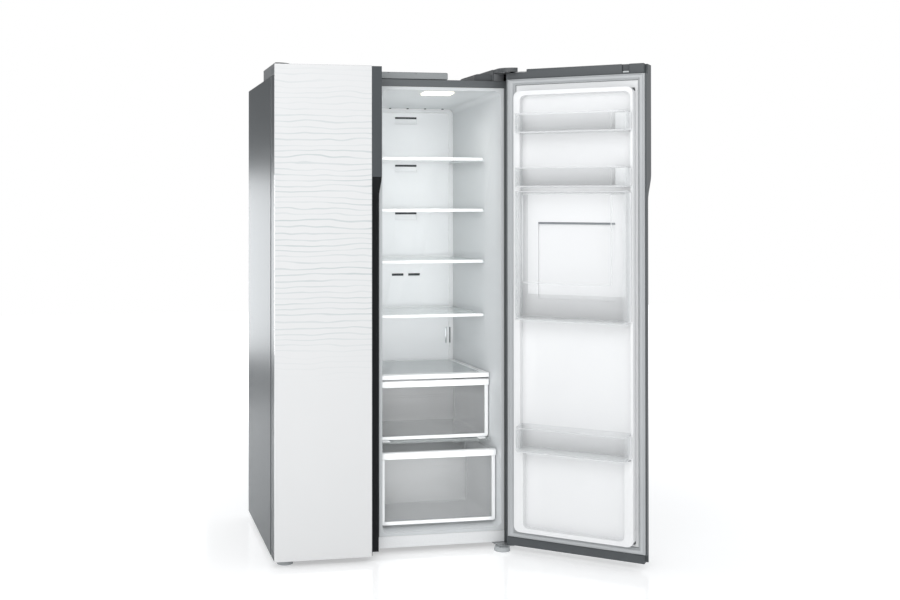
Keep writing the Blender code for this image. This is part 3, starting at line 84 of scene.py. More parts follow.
def make_finish(name, colour, roughness, metallic=0.0, mottle=0.04, grain=220.0, stretch=(1, 1, 1), bump=0.02,
                coat=0.0, specular=0.5):
    """A coated or moulded surface: fine grain in the bump and roughness, and a faintly uneven colour."""
    material = bpy.data.materials.new(name)
    material.use_nodes = True
    tree = material.node_tree
    shader = tree.nodes["Principled BSDF"]
    shader.inputs["Metallic"].default_value = metallic
    shader.inputs["Coat Weight"].default_value = coat
    shader.inputs["Coat Roughness"].default_value = 0.04
    shader.inputs["Specular IOR Level"].default_value = specular
    place = tree.nodes.new("ShaderNodeTexCoord")
    scale = tree.nodes.new("ShaderNodeMapping")
    scale.inputs["Scale"].default_value = stretch
    tree.links.new(place.outputs["Object"], scale.inputs["Vector"])
    fine = tree.nodes.new("ShaderNodeTexNoise")
    fine.inputs["Scale"].default_value = grain
    fine.inputs["Detail"].default_value = 3.0
    broad = tree.nodes.new("ShaderNodeTexNoise")
    broad.inputs["Scale"].default_value = 3.0
    broad.inputs["Detail"].default_value = 2.0
    for noise in (fine, broad):
        tree.links.new(scale.outputs["Vector"], noise.inputs["Vector"])
    shades = tree.nodes.new("ShaderNodeValToRGB")
    shades.color_ramp.elements[0].position = 0.3
    shades.color_ramp.elements[1].position = 0.7
    shades.color_ramp.elements[0].color = (*[c * (1 - mottle) for c in colour], 1.0)
    shades.color_ramp.elements[1].color = (*[min(1.0, c * (1 + mottle)) for c in colour], 1.0)
    tree.links.new(broad.outputs["Fac"], shades.inputs["Fac"])
    tree.links.new(shades.outputs["Color"], shader.inputs["Base Color"])
    polish = map_range(tree, fine.outputs["Fac"], 0.0, 1.0, roughness * 0.88, min(1.0, roughness * 1.12))
    tree.links.new(polish, shader.inputs["Roughness"])
    relief = tree.nodes.new("ShaderNodeBump")
    relief.inputs["Strength"].default_value = bump
    relief.inputs["Distance"].default_value = 0.0004
    tree.links.new(fine.outputs["Fac"], relief.inputs["Height"])
    tree.links.new(relief.outputs["Normal"], shader.inputs["Normal"])
    return material


def place_piece(name, mesh, finish, body, replaced=()):
    """A finished piece at the origin, riding on a body, with smooth faces between its sharp edges."""
    mesh.materials.clear()
    mesh.materials.append(finish)
    for face in mesh.polygons:
        face.use_smooth = True
    mesh.set_sharp_from_angle(angle=math.radians(38))
    piece = bpy.data.objects.new(name, mesh)
    bpy.context.scene.collection.objects.link(piece)
    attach(piece, body)
    if replaced:
        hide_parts(*replaced)
    return piece


def merged_mesh(node):
    """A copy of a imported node's mesh with its loose triangles joined back into flat faces."""
    builder = bmesh.new()
    builder.from_mesh(nodes[node].data)
    bmesh.ops.remove_doubles(builder, verts=builder.verts, dist=0.00002)
    bmesh.ops.dissolve_limit(builder, angle_limit=math.radians(0.5), verts=builder.verts, edges=builder.edges)
    bmesh.ops.connect_verts_concave(builder, faces=builder.faces)
    mesh = bpy.data.meshes.new(node + "_finished")
    builder.to_mesh(mesh)
    builder.free()
    return mesh


def dress(node, finish, fold=0.0008, segments=2):
    """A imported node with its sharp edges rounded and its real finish, in the node's place."""
    piece = place_piece(node + "_finished", merged_mesh(node), finish, nodes[node]["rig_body"], (node,))
    if fold:
        rounding = piece.modifiers.new("rounded_edges", "BEVEL")
        rounding.limit_method = "ANGLE"
        rounding.angle_limit = math.radians(40)
        rounding.width = fold
        rounding.segments = segments
    return piece


case_coat = make_finish("satin_metallic_coat", (0.150, 0.158, 0.162), 0.36, metallic=1.0, mottle=0.02,
                        grain=900.0, bump=0.05)
case_coat.node_tree.nodes["Principled BSDF"].inputs["Specular Tint"].default_value = (0.62, 0.63, 0.64, 1.0)
band_coat = make_finish("dark_steel_band", (0.155, 0.166, 0.172), 0.42, metallic=0.3, mottle=0.03,
                        grain=600.0)
dress("outer_case", case_coat, CASE_FOLD)
dress("centre_strip", band_coat, 0.0004)

# ---------------------------------------------------------------- front band
# Dark strip across the cabinet's front edge, over the folded flange above the compartments. It is thin
# coated steel pressed onto the flange.
BAND_SKIN = 0.0004
liner_low, liner_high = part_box("fridge_liner")
freezer_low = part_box("freezer_liner")[0]


def box_mesh(name, low, high, edge=0.0, segments=2):
    """A block between two corners with rounded edges."""
    builder = bmesh.new()
    bmesh.ops.create_cube(builder, size=1.0)
    bmesh.ops.scale(builder, vec=Vector(high) - Vector(low), verts=builder.verts)
    bmesh.ops.translate(builder, vec=(Vector(high) + Vector(low)) / 2, verts=builder.verts)
    if edge:
        bmesh.ops.bevel(builder, geom=builder.edges, offset=edge, segments=segments, profile=0.5,
                        affect="EDGES", clamp_overlap=True)
    mesh = bpy.data.meshes.new(name)
    builder.to_mesh(mesh)
    builder.free()
    return mesh


place_piece("front_band",
            box_mesh("front_band", (case_low.x + 0.001, front_y - BAND_SKIN, liner_high.z + 0.0006),
                     (case_high.x - 0.001, front_y, case_high.z - 0.0008), 0.00015),
            band_coat, "cabinet")
for side, inner, outer in (("left", freezer_low.x - 0.0006, case_low.x + 0.001),
                           ("right", liner_high.x + 0.0006, case_high.x - 0.001)):
    low_x, high_x = sorted((inner, outer))
    place_piece(f"front_band_{side}",
                box_mesh("band", (low_x, front_y - BAND_SKIN, case_low.z + 0.002),
                         (high_x, front_y, liner_high.z), 0.00015), band_coat, "cabinet")

# ---------------------------------------------------------------- back and base
# Zinc coated back panel with pressed ribs, over a black slotted cover of the machine room, both held by a row
# of pan head screws. The base plate is the same zinc coated sheet.
SCREW_HEAD = 0.0042
SCREW_RISE = 0.0016
panel_low, panel_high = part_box("rear_panel")
cover_low, cover_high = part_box("machine_room_cover")

zinc = make_finish("zinc_coated_sheet", (0.50, 0.51, 0.52), 0.42, metallic=0.9, mottle=0.10, grain=60.0,
                   bump=0.03)
black_enamel = make_finish("black_enamel", (0.022, 0.022, 0.023), 0.38, mottle=0.08, grain=160.0, bump=0.06)


def make_copies_tree(name, vectors=()):
    """Geometry Nodes that set copies of one item on a line's points, and the nodes still to be linked."""
    tree = bpy.data.node_groups.new(name, "GeometryNodeTree")
    tree.interface.new_socket("Geometry", in_out="OUTPUT", socket_type="NodeSocketGeometry")
    for socket, kind in (("Item", "Object"), ("Count", "Int"), *[(vector, "Vector") for vector in vectors],
                         ("Finish", "Material")):
        tree.interface.new_socket(socket, in_out="INPUT", socket_type="NodeSocket" + kind)
    inputs = tree.nodes.new("NodeGroupInput")
    points = tree.nodes.new("GeometryNodeMeshLine")
    item = tree.nodes.new("GeometryNodeObjectInfo")
    copies = tree.nodes.new("GeometryNodeInstanceOnPoints")
    real = tree.nodes.new("GeometryNodeRealizeInstances")
    coat = tree.nodes.new("GeometryNodeSetMaterial")
    outputs = tree.nodes.new("NodeGroupOutput")
    tree.links.new(inputs.outputs["Count"], points.inputs["Count"])
    tree.links.new(inputs.outputs["Item"], item.inputs["Object"])
    tree.links.new(points.outputs["Mesh"], copies.inputs["Points"])
    tree.links.new(item.outputs["Geometry"], copies.inputs["Instance"])
    tree.links.new(copies.outputs["Instances"], real.inputs["Geometry"])
    tree.links.new(real.outputs["Geometry"], coat.inputs["Geometry"])
    tree.links.new(inputs.outputs["Finish"], coat.inputs["Material"])
    tree.links.new(coat.outputs["Geometry"], outputs.inputs["Geometry"])
    return tree, inputs, points, copies


line_tree, given, row, _ = make_copies_tree("items_in_line", ("Start", "Step"))
line_tree.links.new(given.outputs["Start"], row.inputs["Start Location"])
line_tree.links.new(given.outputs["Step"], row.inputs["Offset"])


def made_by(tree, name, values):
    """Runs a Geometry Nodes tree with the named inputs and returns its result as a plain mesh."""
    carrier = bpy.data.objects.new(name, bpy.data.meshes.new(name))
    bpy.context.scene.collection.objects.link(carrier)
    modifier = carrier.modifiers.new("items", "NODES")
    modifier.node_group = tree
    for socket in tree.interface.items_tree:
        if socket.in_out == "INPUT" and socket.name in values:
            modifier[socket.identifier] = values[socket.name]
    bpy.context.view_layer.update()
    graph = bpy.context.evaluated_depsgraph_get()
    mesh = bpy.data.meshes.new_from_object(carrier.evaluated_get(graph))
    mesh.name = name
    bpy.data.objects.remove(carrier)
    return mesh


def in_line(name, item_mesh, count, start, step, finish, body):
    """A row of like items, as one piece."""
    item = bpy.data.objects.new(name + "_item", item_mesh)
    bpy.context.scene.collection.objects.link(item)
    mesh = made_by(line_tree, name, {"Item": item, "Count": count, "Start": Vector(start),
                                     "Step": Vector(step), "Finish": finish})
    bpy.data.objects.remove(item)
    return place_piece(name, mesh, finish, body)


def screw_mesh(axis):
    """A low domed screw head with a cross slot, its dome facing the back (Y) or up (Z)."""
    builder = bmesh.new()
    bmesh.ops.create_cone(builder, cap_ends=True, segments=16, radius1=SCREW_HEAD, radius2=SCREW_HEAD * 0.6,
                          depth=SCREW_RISE, matrix=Matrix.Translation((0, 0, SCREW_RISE / 2)))
    for turn in (0.0, math.pi / 2):
        bar = Matrix.Rotation(turn, 4, "Z") @ Matrix.Translation((0, 0, SCREW_RISE)) @ \
            Matrix.Diagonal((SCREW_HEAD * 0.9, SCREW_HEAD * 0.16, SCREW_RISE * 0.16, 1.0))
        bmesh.ops.create_cube(builder, size=1.0, matrix=bar)
    if axis == "Y":
        bmesh.ops.transform(builder, matrix=Matrix.Rotation(-math.pi / 2, 4, "X"), verts=builder.verts)
    mesh = bpy.data.meshes.new("screw")
    builder.to_mesh(mesh)
    builder.free()
    return mesh


dress("rear_panel", zinc, 0.0004)
dress("base_plate", zinc, 0.0005)
dress("machine_room_cover", black_enamel, 0.0003, 1)
screws_across = 7
screw_step = (cover_high.x - cover_low.x - 0.03) / (screws_across - 1)
in_line("machine_cover_screws", screw_mesh("Y"), screws_across,
        (cover_low.x + 0.015, cover_high.y, cover_high.z - 0.012), (screw_step, 0, 0), zinc, "cabinet")
in_line("back_panel_top_screws", screw_mesh("Y"), screws_across,
        (panel_low.x + 0.015, cover_high.y, panel_high.z - 0.014), (screw_step, 0, 0), zinc, "cabinet")
for side, x in (("left", panel_low.x + 0.010), ("right", panel_high.x - 0.010)):
    in_line(f"back_panel_{side}_screws", screw_mesh("Y"), 6, (x, cover_high.y, panel_low.z + 0.12),
            (0, 0, 0.24), zinc, "cabinet")

# ---------------------------------------------------------------- machine room
# Black enamelled compressor with its terminal box and copper pipes, a fan in a wire guard, a folded copper
# coil with pressed aluminium fins, a white drain pan and the mains inlet.
FIN_PITCH = 0.0045
FIN_SKIN = 0.0004
PIPE = 0.0032
can_low, can_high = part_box("compressor")
coil_low, coil_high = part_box("condenser_coil")
fan_low, fan_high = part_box("condenser_fan")

copper = make_finish("drawn_copper", (0.55, 0.27, 0.16), 0.32, metallic=1.0, mottle=0.14, grain=90.0)
bare_aluminium = make_finish("bare_aluminium", (0.70, 0.71, 0.72), 0.38, metallic=1.0, mottle=0.05,
                             grain=300.0)
black_plastic = make_finish("black_plastic", (0.020, 0.021, 0.022), 0.5, mottle=0.06, grain=500.0, bump=0.10)
pan_white = make_finish("pan_white", (0.72, 0.73, 0.72), 0.45, mottle=0.04)


def tube_mesh(name, points, radius):
    """A round tube along a smooth path through the points, with closed ends."""
    curve = bpy.data.curves.new(name, "CURVE")
    curve.dimensions = "3D"
    curve.bevel_depth = radius
    curve.bevel_resolution = 3
    curve.use_fill_caps = True
    spline = curve.splines.new("NURBS")
    spline.points.add(len(points) - 1)
    for point, place in zip(spline.points, points):
        point.co = (*place, 1.0)
    spline.use_endpoint_u = True
    spline.order_u = 3
    spline.resolution_u = 6
    path = bpy.data.objects.new(name, curve)
    bpy.context.scene.collection.objects.link(path)
    bpy.context.view_layer.update()
    mesh = bpy.data.meshes.new_from_object(path.evaluated_get(bpy.context.evaluated_depsgraph_get()))
    bpy.data.objects.remove(path)
    builder = bmesh.new()
    builder.from_mesh(mesh)
    bmesh.ops.remove_doubles(builder, verts=builder.verts, dist=0.00001)
    bmesh.ops.recalc_face_normals(builder, faces=builder.faces)
    builder.to_mesh(mesh)
    builder.free()
    return mesh


dress("compressor", black_enamel, 0.002, 3)
dress("condenser_coil", copper, 0)
dress("condenser_fan", black_plastic, 0.0004)
dress("drain_pan", pan_white, 0.001)
dress("mains_inlet", black_plastic, 0.0005)
in_line("condenser_fins",
        box_mesh("fin", (-FIN_SKIN / 2, -0.017, -0.064), (FIN_SKIN / 2, 0.017, 0.066)),
        int((coil_high.x - coil_low.x - 0.040) / FIN_PITCH),
        (coil_low.x + 0.020, (coil_low.y + coil_high.y) / 2, (coil_low.z + coil_high.z) / 2),
        (FIN_PITCH, 0, 0), bare_aluminium, "cabinet")
can_x = (can_low.x + can_high.x) / 2
can_y = (can_low.y + can_high.y) / 2
place_piece("terminal_box", box_mesh("terminal_box", (can_high.x - 0.014, can_y - 0.026, can_low.z + 0.055),
                                     (can_high.x + 0.020, can_y + 0.026, can_low.z + 0.115), 0.003),
            black_plastic, "cabinet")
place_piece("discharge_pipe", tube_mesh("discharge_pipe", [
    (can_x + 0.03, can_y + 0.02, can_high.z - 0.012), (can_x + 0.03, can_y + 0.02, can_high.z + 0.014),
    (can_x + 0.09, can_y + 0.03, can_high.z + 0.020), (fan_low.x, can_y + 0.078, can_high.z + 0.016),
    (fan_high.x + 0.03, can_y + 0.078, can_high.z - 0.01),
    (coil_low.x + 0.01, can_y + 0.02, coil_high.z + 0.004), (coil_low.x + 0.02, can_y, coil_high.z - 0.004)], PIPE), copper, "cabinet")

# ---------------------------------------------------------------- feet, rollers and bottom hinges
# Grey moulded levelling feet with a ribbed rim and a threaded stud, hard rubber rollers at the back, and a
# zinc coated bracket under each door that carries its lower pin.
FOOT_RIBS = 28
roller_rubber = make_finish("roller_rubber", (0.035, 0.035, 0.036), 0.7, mottle=0.10, grain=400.0, bump=0.15)
foot_plastic = make_finish("grey_foot_plastic", (0.48, 0.50, 0.51), 0.42, mottle=0.05, grain=300.0, bump=0.06)


ring_tree, given, row, turned = make_copies_tree("items_in_ring")
row.inputs["Offset"].default_value = (0, 0, 0)
index = ring_tree.nodes.new("GeometryNodeInputIndex")
share = ring_tree.nodes.new("ShaderNodeMath")
share.operation = "DIVIDE"
turn = ring_tree.nodes.new("ShaderNodeMath")
turn.operation = "MULTIPLY"
turn.inputs[1].default_value = 2 * math.pi
angles = ring_tree.nodes.new("ShaderNodeCombineXYZ")
ring_tree.links.new(index.outputs["Index"], share.inputs[0])
ring_tree.links.new(given.outputs["Count"], share.inputs[1])
ring_tree.links.new(share.outputs["Value"], turn.inputs[0])
ring_tree.links.new(turn.outputs["Value"], angles.inputs["Z"])
ring_tree.links.new(angles.outputs["Vector"], turned.inputs["Rotation"])


def in_ring(name, item_mesh, count, centre, axis, finish, body):
    """Like items set evenly round an axis through a point, as one piece."""
    item = bpy.data.objects.new(name + "_item", item_mesh)
    bpy.context.scene.collection.objects.link(item)
    mesh = made_by(ring_tree, name, {"Item": item, "Count": count, "Finish": finish})
    bpy.data.objects.remove(item)
    if axis == "X":
        mesh.transform(Matrix.Rotation(math.pi / 2, 4, "Y"))
    mesh.transform(Matrix.Translation(centre))
    return place_piece(name, mesh, finish, body)


for side in ("left", "right"):
    foot = f"levelling_foot_{side}"
    foot_low, foot_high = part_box(foot)
    foot_centre = ((foot_low.x + foot_high.x) / 2, (foot_low.y + foot_high.y) / 2, 0)
    foot_radius = (foot_high.x - foot_low.x) / 2
    dress(foot, foot_plastic, 0.0012)
    in_ring(f"foot_ribs_{side}", box_mesh("rib", (foot_radius - 0.0045, -0.0009, 0.0018),
                                          (foot_radius - 0.0016, 0.0009, 0.0095), 0.0003),
            FOOT_RIBS, foot_centre, "Z", foot_plastic, foot)
    roller = f"rear_roller_{side}"
    dress(roller, roller_rubber, 0.0015, 3)
    dress(f"bottom_hinge_{side}", zinc, 0.0005)

fan_centre = ((fan_low.x + fan_high.x) / 2, (fan_low.y + fan_high.y) / 2, (fan_low.z + fan_high.z) / 2)
in_ring("fan_guard", box_mesh("spoke", (0.010, -0.001, 0.014), (0.068, 0.001, 0.016), 0.0004), 12, fan_centre,
        "X", black_plastic, "cabinet")

# ---------------------------------------------------------------- roof
# A low moulded cover over the wiring and a cover over each door hinge, in dark grey plastic with a fine
# texture. Under the hinge covers sit cranked zinc coated plates.
cover_grey = make_finish("grey_roof_plastic", (0.29, 0.305, 0.31), 0.45, mottle=0.03, grain=500.0, bump=0.08)
hinge_grey = make_finish("dark_hinge_plastic", (0.082, 0.087, 0.091), 0.34, mottle=0.05, grain=500.0,
                         bump=0.06)
wiring_low, wiring_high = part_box("wiring_cover")
dress("wiring_cover", cover_grey, 0.0012)
in_line("wiring_cover_ribs", box_mesh("rib", (-0.0008, 0.020, -0.0004), (0.0008, 0.135, 0.0006), 0.0003), 15,
        (wiring_low.x + 0.035, wiring_low.y, wiring_high.z - 0.0004),
        ((wiring_high.x - wiring_low.x - 0.07) / 14, 0, 0), cover_grey, "cabinet")
for side in ("left", "right"):
    hinge_cover_low, hinge_cover_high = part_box(f"top_hinge_cover_{side}")
    dress(f"top_hinge_cover_{side}", hinge_grey, 0.0022, 3)
    dress(f"top_hinge_{side}", zinc, 0.0005)
    outward = 1 if side == "right" else -1
    screw_x = (hinge_cover_high.x if side == "right" else hinge_cover_low.x) - outward * 0.035
    in_line(f"hinge_cover_screws_{side}", screw_mesh("Z"), 2,
            (screw_x, hinge_cover_high.y - 0.030, hinge_cover_high.z - SCREW_RISE - 0.0002),
            (0, -0.110, 0), zinc, "cabinet")

# ---------------------------------------------------------------- compartments
# Vacuum formed white liners, glossy and faintly uneven, with soft folds and a flange at the front. A white
# cover closes the cabinet below them.
LINER_FOLD = 0.0016
liner_white = make_finish("glossy_liner_white", (0.67, 0.69, 0.70), 0.22, mottle=0.012, grain=120.0,
                          bump=0.015)
moulded_white = make_finish("moulded_white", (0.84, 0.85, 0.855), 0.28, mottle=0.012, grain=260.0, bump=0.03)
foam = make_finish("rigid_foam", (0.72, 0.63, 0.40), 0.9, mottle=0.10, grain=500.0, bump=0.5)
dress("fridge_liner", liner_white, LINER_FOLD, 3)
dress("freezer_liner", liner_white, LINER_FOLD, 3)
dress("front_base_cover", moulded_white, 0.0004)
dress("case_insulation", foam, 0)

# ---------------------------------------------------------------- air duct panels
# A white moulded panel stands in front of the ducts at the back of each compartment. Air comes out of slots
# over shallow pockets, and a raised border with round corners runs along the panel's top and side. The slots,
# the first corner slot and the ticks above the panel are thin near black blocks: painted shade in the openings.
SLOT_LIP = 0.008
BORDER = 0.0026
# Near black for the slots and ticks: painted shade in the openings.
slot_painted_shade = make_finish("slot_painted_shadow", (0.045, 0.050, 0.055), 0.6, mottle=0.05, grain=400.0)
chrome = make_finish("polished_chrome", (0.62, 0.64, 0.66), 0.10, metallic=1.0, mottle=0.02, grain=100.0,
                     bump=0.0)
duct_low, duct_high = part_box("fridge_duct_panel")
duct_middle = (duct_low.x + duct_high.x) / 2
panel_white = make_finish("duct_panel_white", (0.86, 0.875, 0.885), 0.30, mottle=0.012, grain=260.0,
                          bump=0.03)
dress("fridge_duct_panel", panel_white, 0.0012)
dress("freezer_duct_panel", panel_white, 0.0012)
dress("evaporator", bare_aluminium, 0.0004)

shelf_tops = [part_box(f"glass_shelf_{number}")[1].z for number in (1, 2, 3, 4)]
slot_tops = [top - 0.001 + 0.180 for top in shelf_tops[1:]]
for number, top in enumerate(slot_tops):
    place_piece(f"air_slot_{number + 1}",
                box_mesh("slot", (duct_middle - 0.0455, duct_low.y + 0.0004, top - SLOT_LIP),
                         (duct_middle + 0.0455, duct_low.y + 0.0039, top - 0.0003), 0.0004),
                slot_painted_shade, "cabinet")
low_slot = shelf_tops[0] - 0.001 + 0.135
for face in (-1, 1):
    near, far = sorted((duct_middle + face * 0.0105, duct_middle + face * 0.0595))
    place_piece(f"low_air_slot_{'left' if face < 0 else 'right'}",
                box_mesh("slot", (near, duct_low.y + 0.0004, low_slot - 0.0096),
                         (far, duct_low.y + 0.0039, low_slot - 0.0004), 0.0004),
                slot_painted_shade, "cabinet")
fillet_y = duct_low.y + 0.0012
place_piece("duct_panel_fillet_top",
            box_mesh("fillet", (duct_low.x - 0.010, fillet_y, duct_high.z - 0.003),
                     (duct_high.x + 0.010, fillet_y + 0.0045, duct_high.z + 0.0115), 0.001),
            moulded_white, "cabinet")
for name, x_low, x_high in (("left", duct_low.x - 0.0105, duct_low.x + 0.003),
                            ("right", duct_high.x - 0.003, duct_high.x + 0.0105)):
    place_piece(f"duct_panel_fillet_{name}",
                box_mesh("fillet", (x_low, fillet_y, duct_low.z), (x_high, fillet_y + 0.0045, duct_high.z),
                         0.001),
                moulded_white, "cabinet")
border_x = duct_high.x - 0.012
border_z = duct_high.z - 0.010
border_left = duct_low.x + 0.012
corner = 0.016
arc = [(border_x - corner + corner * math.sin(math.radians(a)), duct_low.y, border_z - corner
        + corner * math.cos(math.radians(a))) for a in range(0, 91, 15)]
place_piece("duct_panel_border", tube_mesh("border", [(border_left, duct_low.y, border_z)] + arc
                                           + [(border_x, duct_low.y, duct_low.z + 0.35)], BORDER),
            moulded_white, "cabinet")
for number, x in enumerate((border_x + 0.004, border_x - 0.013)):
    place_piece(f"corner_air_slot_{number + 1}",
                box_mesh("slot", (x - 0.0025, duct_low.y - 0.0022, 0.705),
                         (x + 0.0025, duct_low.y - 0.0002, 0.770), 0.0008),
                chrome if number else slot_painted_shade, "cabinet")
in_line("ceiling_ticks", box_mesh("tick", (-0.001, -0.010, -0.0016), (0.006, 0.0, 0.0016), 0.0004), 5,
        (duct_low.x + 0.05, duct_low.y - 0.002, duct_high.z + 0.006), (0.075, 0, 0), slot_painted_shade, "cabinet")

# ---------------------------------------------------------------- ceiling light
# A frosted lens in the ceiling with warm light diodes behind it, and a lamp that lights the compartment.
frosted = make_finish("frosted_lens", (0.95, 0.92, 0.84), 0.45, mottle=0.02, grain=300.0)
lens = dress("ceiling_light_lens", frosted, 0.0008)
glow = lens.data.materials[0].node_tree.nodes["Principled BSDF"]
glow.inputs["Emission Color"].default_value = (1.0, 0.93, 0.80, 1.0)
glow.inputs["Emission Strength"].default_value = 1.0

# ---------------------------------------------------------------- shelves
# Toughened glass plates with polished green edges. A white extrusion clips over the front edge and a lower
# one over the back edge, and a moulded bracket grips each end of the front one.
GLASS_PLATE = 0.004
TRIM_HEIGHT = 0.0118
TRIM_DEPTH = 0.020
REAR_TRIM = 0.010


def make_clear(name, colour, roughness, face_alpha, edge_alpha, ripple=0.01):
    """Clear glass or plastic: nearly invisible face on, brighter at a glancing angle, with a faint ripple."""
    material = bpy.data.materials.new(name)
    material.use_nodes = True
    tree = material.node_tree
    shader = tree.nodes["Principled BSDF"]
    shader.inputs["Base Color"].default_value = (*colour, 1.0)
    shader.inputs["Roughness"].default_value = roughness
    shader.inputs["Specular IOR Level"].default_value = 0.6
    shader.inputs["Coat Weight"].default_value = 0.5
    facing = tree.nodes.new("ShaderNodeLayerWeight")
    facing.inputs["Blend"].default_value = 0.35
    strength = map_range(tree, facing.outputs["Facing"], 0.0, 1.0, face_alpha, edge_alpha)
    tree.links.new(strength, shader.inputs["Alpha"])
    place = tree.nodes.new("ShaderNodeTexCoord")
    waves = tree.nodes.new("ShaderNodeTexNoise")
    waves.inputs["Scale"].default_value = 18.0
    relief = tree.nodes.new("ShaderNodeBump")
    relief.inputs["Strength"].default_value = ripple
    relief.inputs["Distance"].default_value = 0.002
    tree.links.new(place.outputs["Object"], waves.inputs["Vector"])
    tree.links.new(waves.outputs["Fac"], relief.inputs["Height"])
    tree.links.new(relief.outputs["Normal"], shader.inputs["Normal"])
    return material


shelf_glass = make_clear("toughened_glass", (0.78, 0.87, 0.86), 0.03, 0.10, 0.45)
clear_plastic = make_clear("clear_styrene", (0.93, 0.95, 0.96), 0.06, 0.045, 0.60)
rim_plastic = make_clear("clear_rim", (0.97, 0.98, 0.99), 0.08, 0.55, 0.92)
tray_white = make_clear("milky_tray", (0.93, 0.94, 0.945), 0.20, 0.62, 0.85)


def tapered_mesh(name, y_front, y_back, x_front, x_back, z_low, z_high, edge=0.0, segments=2):
    """A block that narrows towards the back with the walls of the compartment."""
    builder = bmesh.new()
    bmesh.ops.create_cube(builder, size=1.0)
    for vertex in builder.verts:
        pair = x_front if vertex.co.y < 0 else x_back
        vertex.co = (pair[0] if vertex.co.x < 0 else pair[1], y_front if vertex.co.y < 0 else y_back,
                     z_low if vertex.co.z < 0 else z_high)
    if edge:
        bmesh.ops.bevel(builder, geom=builder.edges, offset=edge, segments=segments, profile=0.5,
                        affect="EDGES", clamp_overlap=True)
    mesh = bpy.data.meshes.new(name)
    builder.to_mesh(mesh)
    builder.free()
    return mesh


def section_x(node, y, reach=0.004):
    """How far a node's mesh spans in X near a depth."""
    values = [v.co.x for v in nodes[node].data.vertices if abs(v.co.y - y) < reach]
    return min(values), max(values)


def build_shelf(node, body):
    """Glass plate, front and back extrusions and end brackets of one shelf."""
    low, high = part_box(node)
    top = high.z - 0.001
    front = section_x(node, low.y)
    back = section_x(node, high.y)

    def at(y, pair_index):
        share = (y - low.y) / (high.y - low.y)
        return front[pair_index] + (back[pair_index] - front[pair_index]) * share

    def span(y, inset=0.0):
        return at(y, 0) + inset, at(y, 1) - inset

    plate_front = low.y + 0.004
    plate = tapered_mesh("plate", plate_front, high.y - 0.001, span(plate_front, 0.001), span(high.y, 0.001),
                         top - GLASS_PLATE, top, 0.0006)
    place_piece(node + "_plate", plate, shelf_glass, body, (node,))
    trim_back = low.y + TRIM_DEPTH
    trim = tapered_mesh("trim", low.y, trim_back, span(low.y), span(trim_back), high.z - TRIM_HEIGHT, high.z,
                        0.0022, 3)
    place_piece(node + "_front_trim", trim, moulded_white, body)
    rear_front = high.y - REAR_TRIM
    rear = tapered_mesh("rear", rear_front, high.y, span(rear_front, 0.0005), span(high.y, 0.0005),
                        top - GLASS_PLATE - 0.0030, high.z, 0.0010)
    place_piece(node + "_rear_trim", rear, moulded_white, body)
    for name, edge_index, inward in (("left", 0, 1), ("right", 1, -1)):
        outer = at(low.y + 0.010, edge_index)
        x_low, x_high = sorted((outer + inward * 0.001, outer + inward * 0.017))
        place_piece(f"{node}_bracket_{name}",
                    box_mesh("bracket", (x_low, low.y + 0.004, high.z - TRIM_HEIGHT - 0.0001),
                             (x_high, trim_back + 0.014, high.z - TRIM_HEIGHT + 0.004), 0.0012),
                    clear_plastic, body)


for number in (1, 2, 3, 4):
    build_shelf(f"glass_shelf_{number}", f"glass_shelf_{number}")
for number in (1, 2):
    build_shelf(f"freezer_shelf_{number}", "cabinet")

# ---------------------------------------------------------------- drawer covers
# A white moulded frame with a smoked glass plate roofs the upper drawer. A plain glass plate with a clear front
# edge and two white clips roofs the lower one.
smoked_glass = make_clear("smoked_glass", (0.66, 0.70, 0.71), 0.08, 0.55, 0.80)
crisper_low, crisper_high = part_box("crisper_shelf")
dress("crisper_shelf", moulded_white, 0.0015, 3)
crisper_front = section_x("crisper_shelf", crisper_low.y, 0.006)
crisper_back = section_x("crisper_shelf", crisper_high.y)
place_piece("crisper_shelf_glass",
            tapered_mesh("plate", crisper_low.y + 0.0305, crisper_high.y - 0.0205,
                         (crisper_front[0] + 0.029, crisper_front[1] - 0.029),
                         (crisper_back[0] + 0.026, crisper_back[1] - 0.026),
                         crisper_high.z - 0.0009, crisper_high.z - 0.0001),
            smoked_glass, "cabinet")
cover_plate_low, cover_plate_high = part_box("lower_drawer_cover")
dress("lower_drawer_cover", shelf_glass, 0.0008)
place_piece("lower_cover_front_edge",
            box_mesh("edge",
                     (cover_plate_low.x + 0.004, cover_plate_low.y - 0.0008, cover_plate_low.z - 0.0012),
                     (cover_plate_high.x - 0.004, cover_plate_low.y + 0.010, cover_plate_high.z + 0.0008),
                     0.0014, 3), clear_plastic, "cabinet")
for name, x in (("left", cover_plate_low.x + 0.030), ("right", cover_plate_high.x - 0.030)):
    place_piece(f"lower_cover_clip_{name}",
                box_mesh("clip", (x - 0.014, cover_plate_low.y - 0.003, cover_plate_high.z),
                         (x + 0.014, cover_plate_low.y + 0.020, cover_plate_high.z + 0.0028), 0.001),
                moulded_white, "cabinet")

# ---------------------------------------------------------------- drawers
# Clear injection moulded tubs behind a white front frame. The frame's top rail overhangs as the pull, and
# the tub's front wall, with moulded lines, shows in the window under it.


def tint(node, finish):
    """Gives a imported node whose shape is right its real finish."""
    for material_slot in nodes[node].material_slots:
        material_slot.material = finish


def build_drawer(node, front_node, body):
    """Tub, front frame, and the moulded lines on the tub's front wall."""
    tint(node, clear_plastic)
    dress(front_node, moulded_white, 0.0012, 3)
    low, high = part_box(front_node)
    pane_y = high.y - 0.0003
    pane_high_z = high.z - 0.0255
    place_piece(front_node + "_grip",
                box_mesh("grip", (low.x + 0.002, low.y + 0.0006, high.z - 0.0242),
                         (high.x - 0.002, low.y + 0.0046, high.z - 0.0150), 0.0016, 3),
                moulded_white, body)
    in_line(front_node + "_moulded_lines",
            box_mesh("line", (low.x + 0.016, pane_y - 0.0006, -0.0006), (high.x - 0.016, pane_y, 0.0006),
                     0.0003),
            2, (0, 0, pane_high_z - 0.032), (0, 0, -0.008), clear_plastic, body)


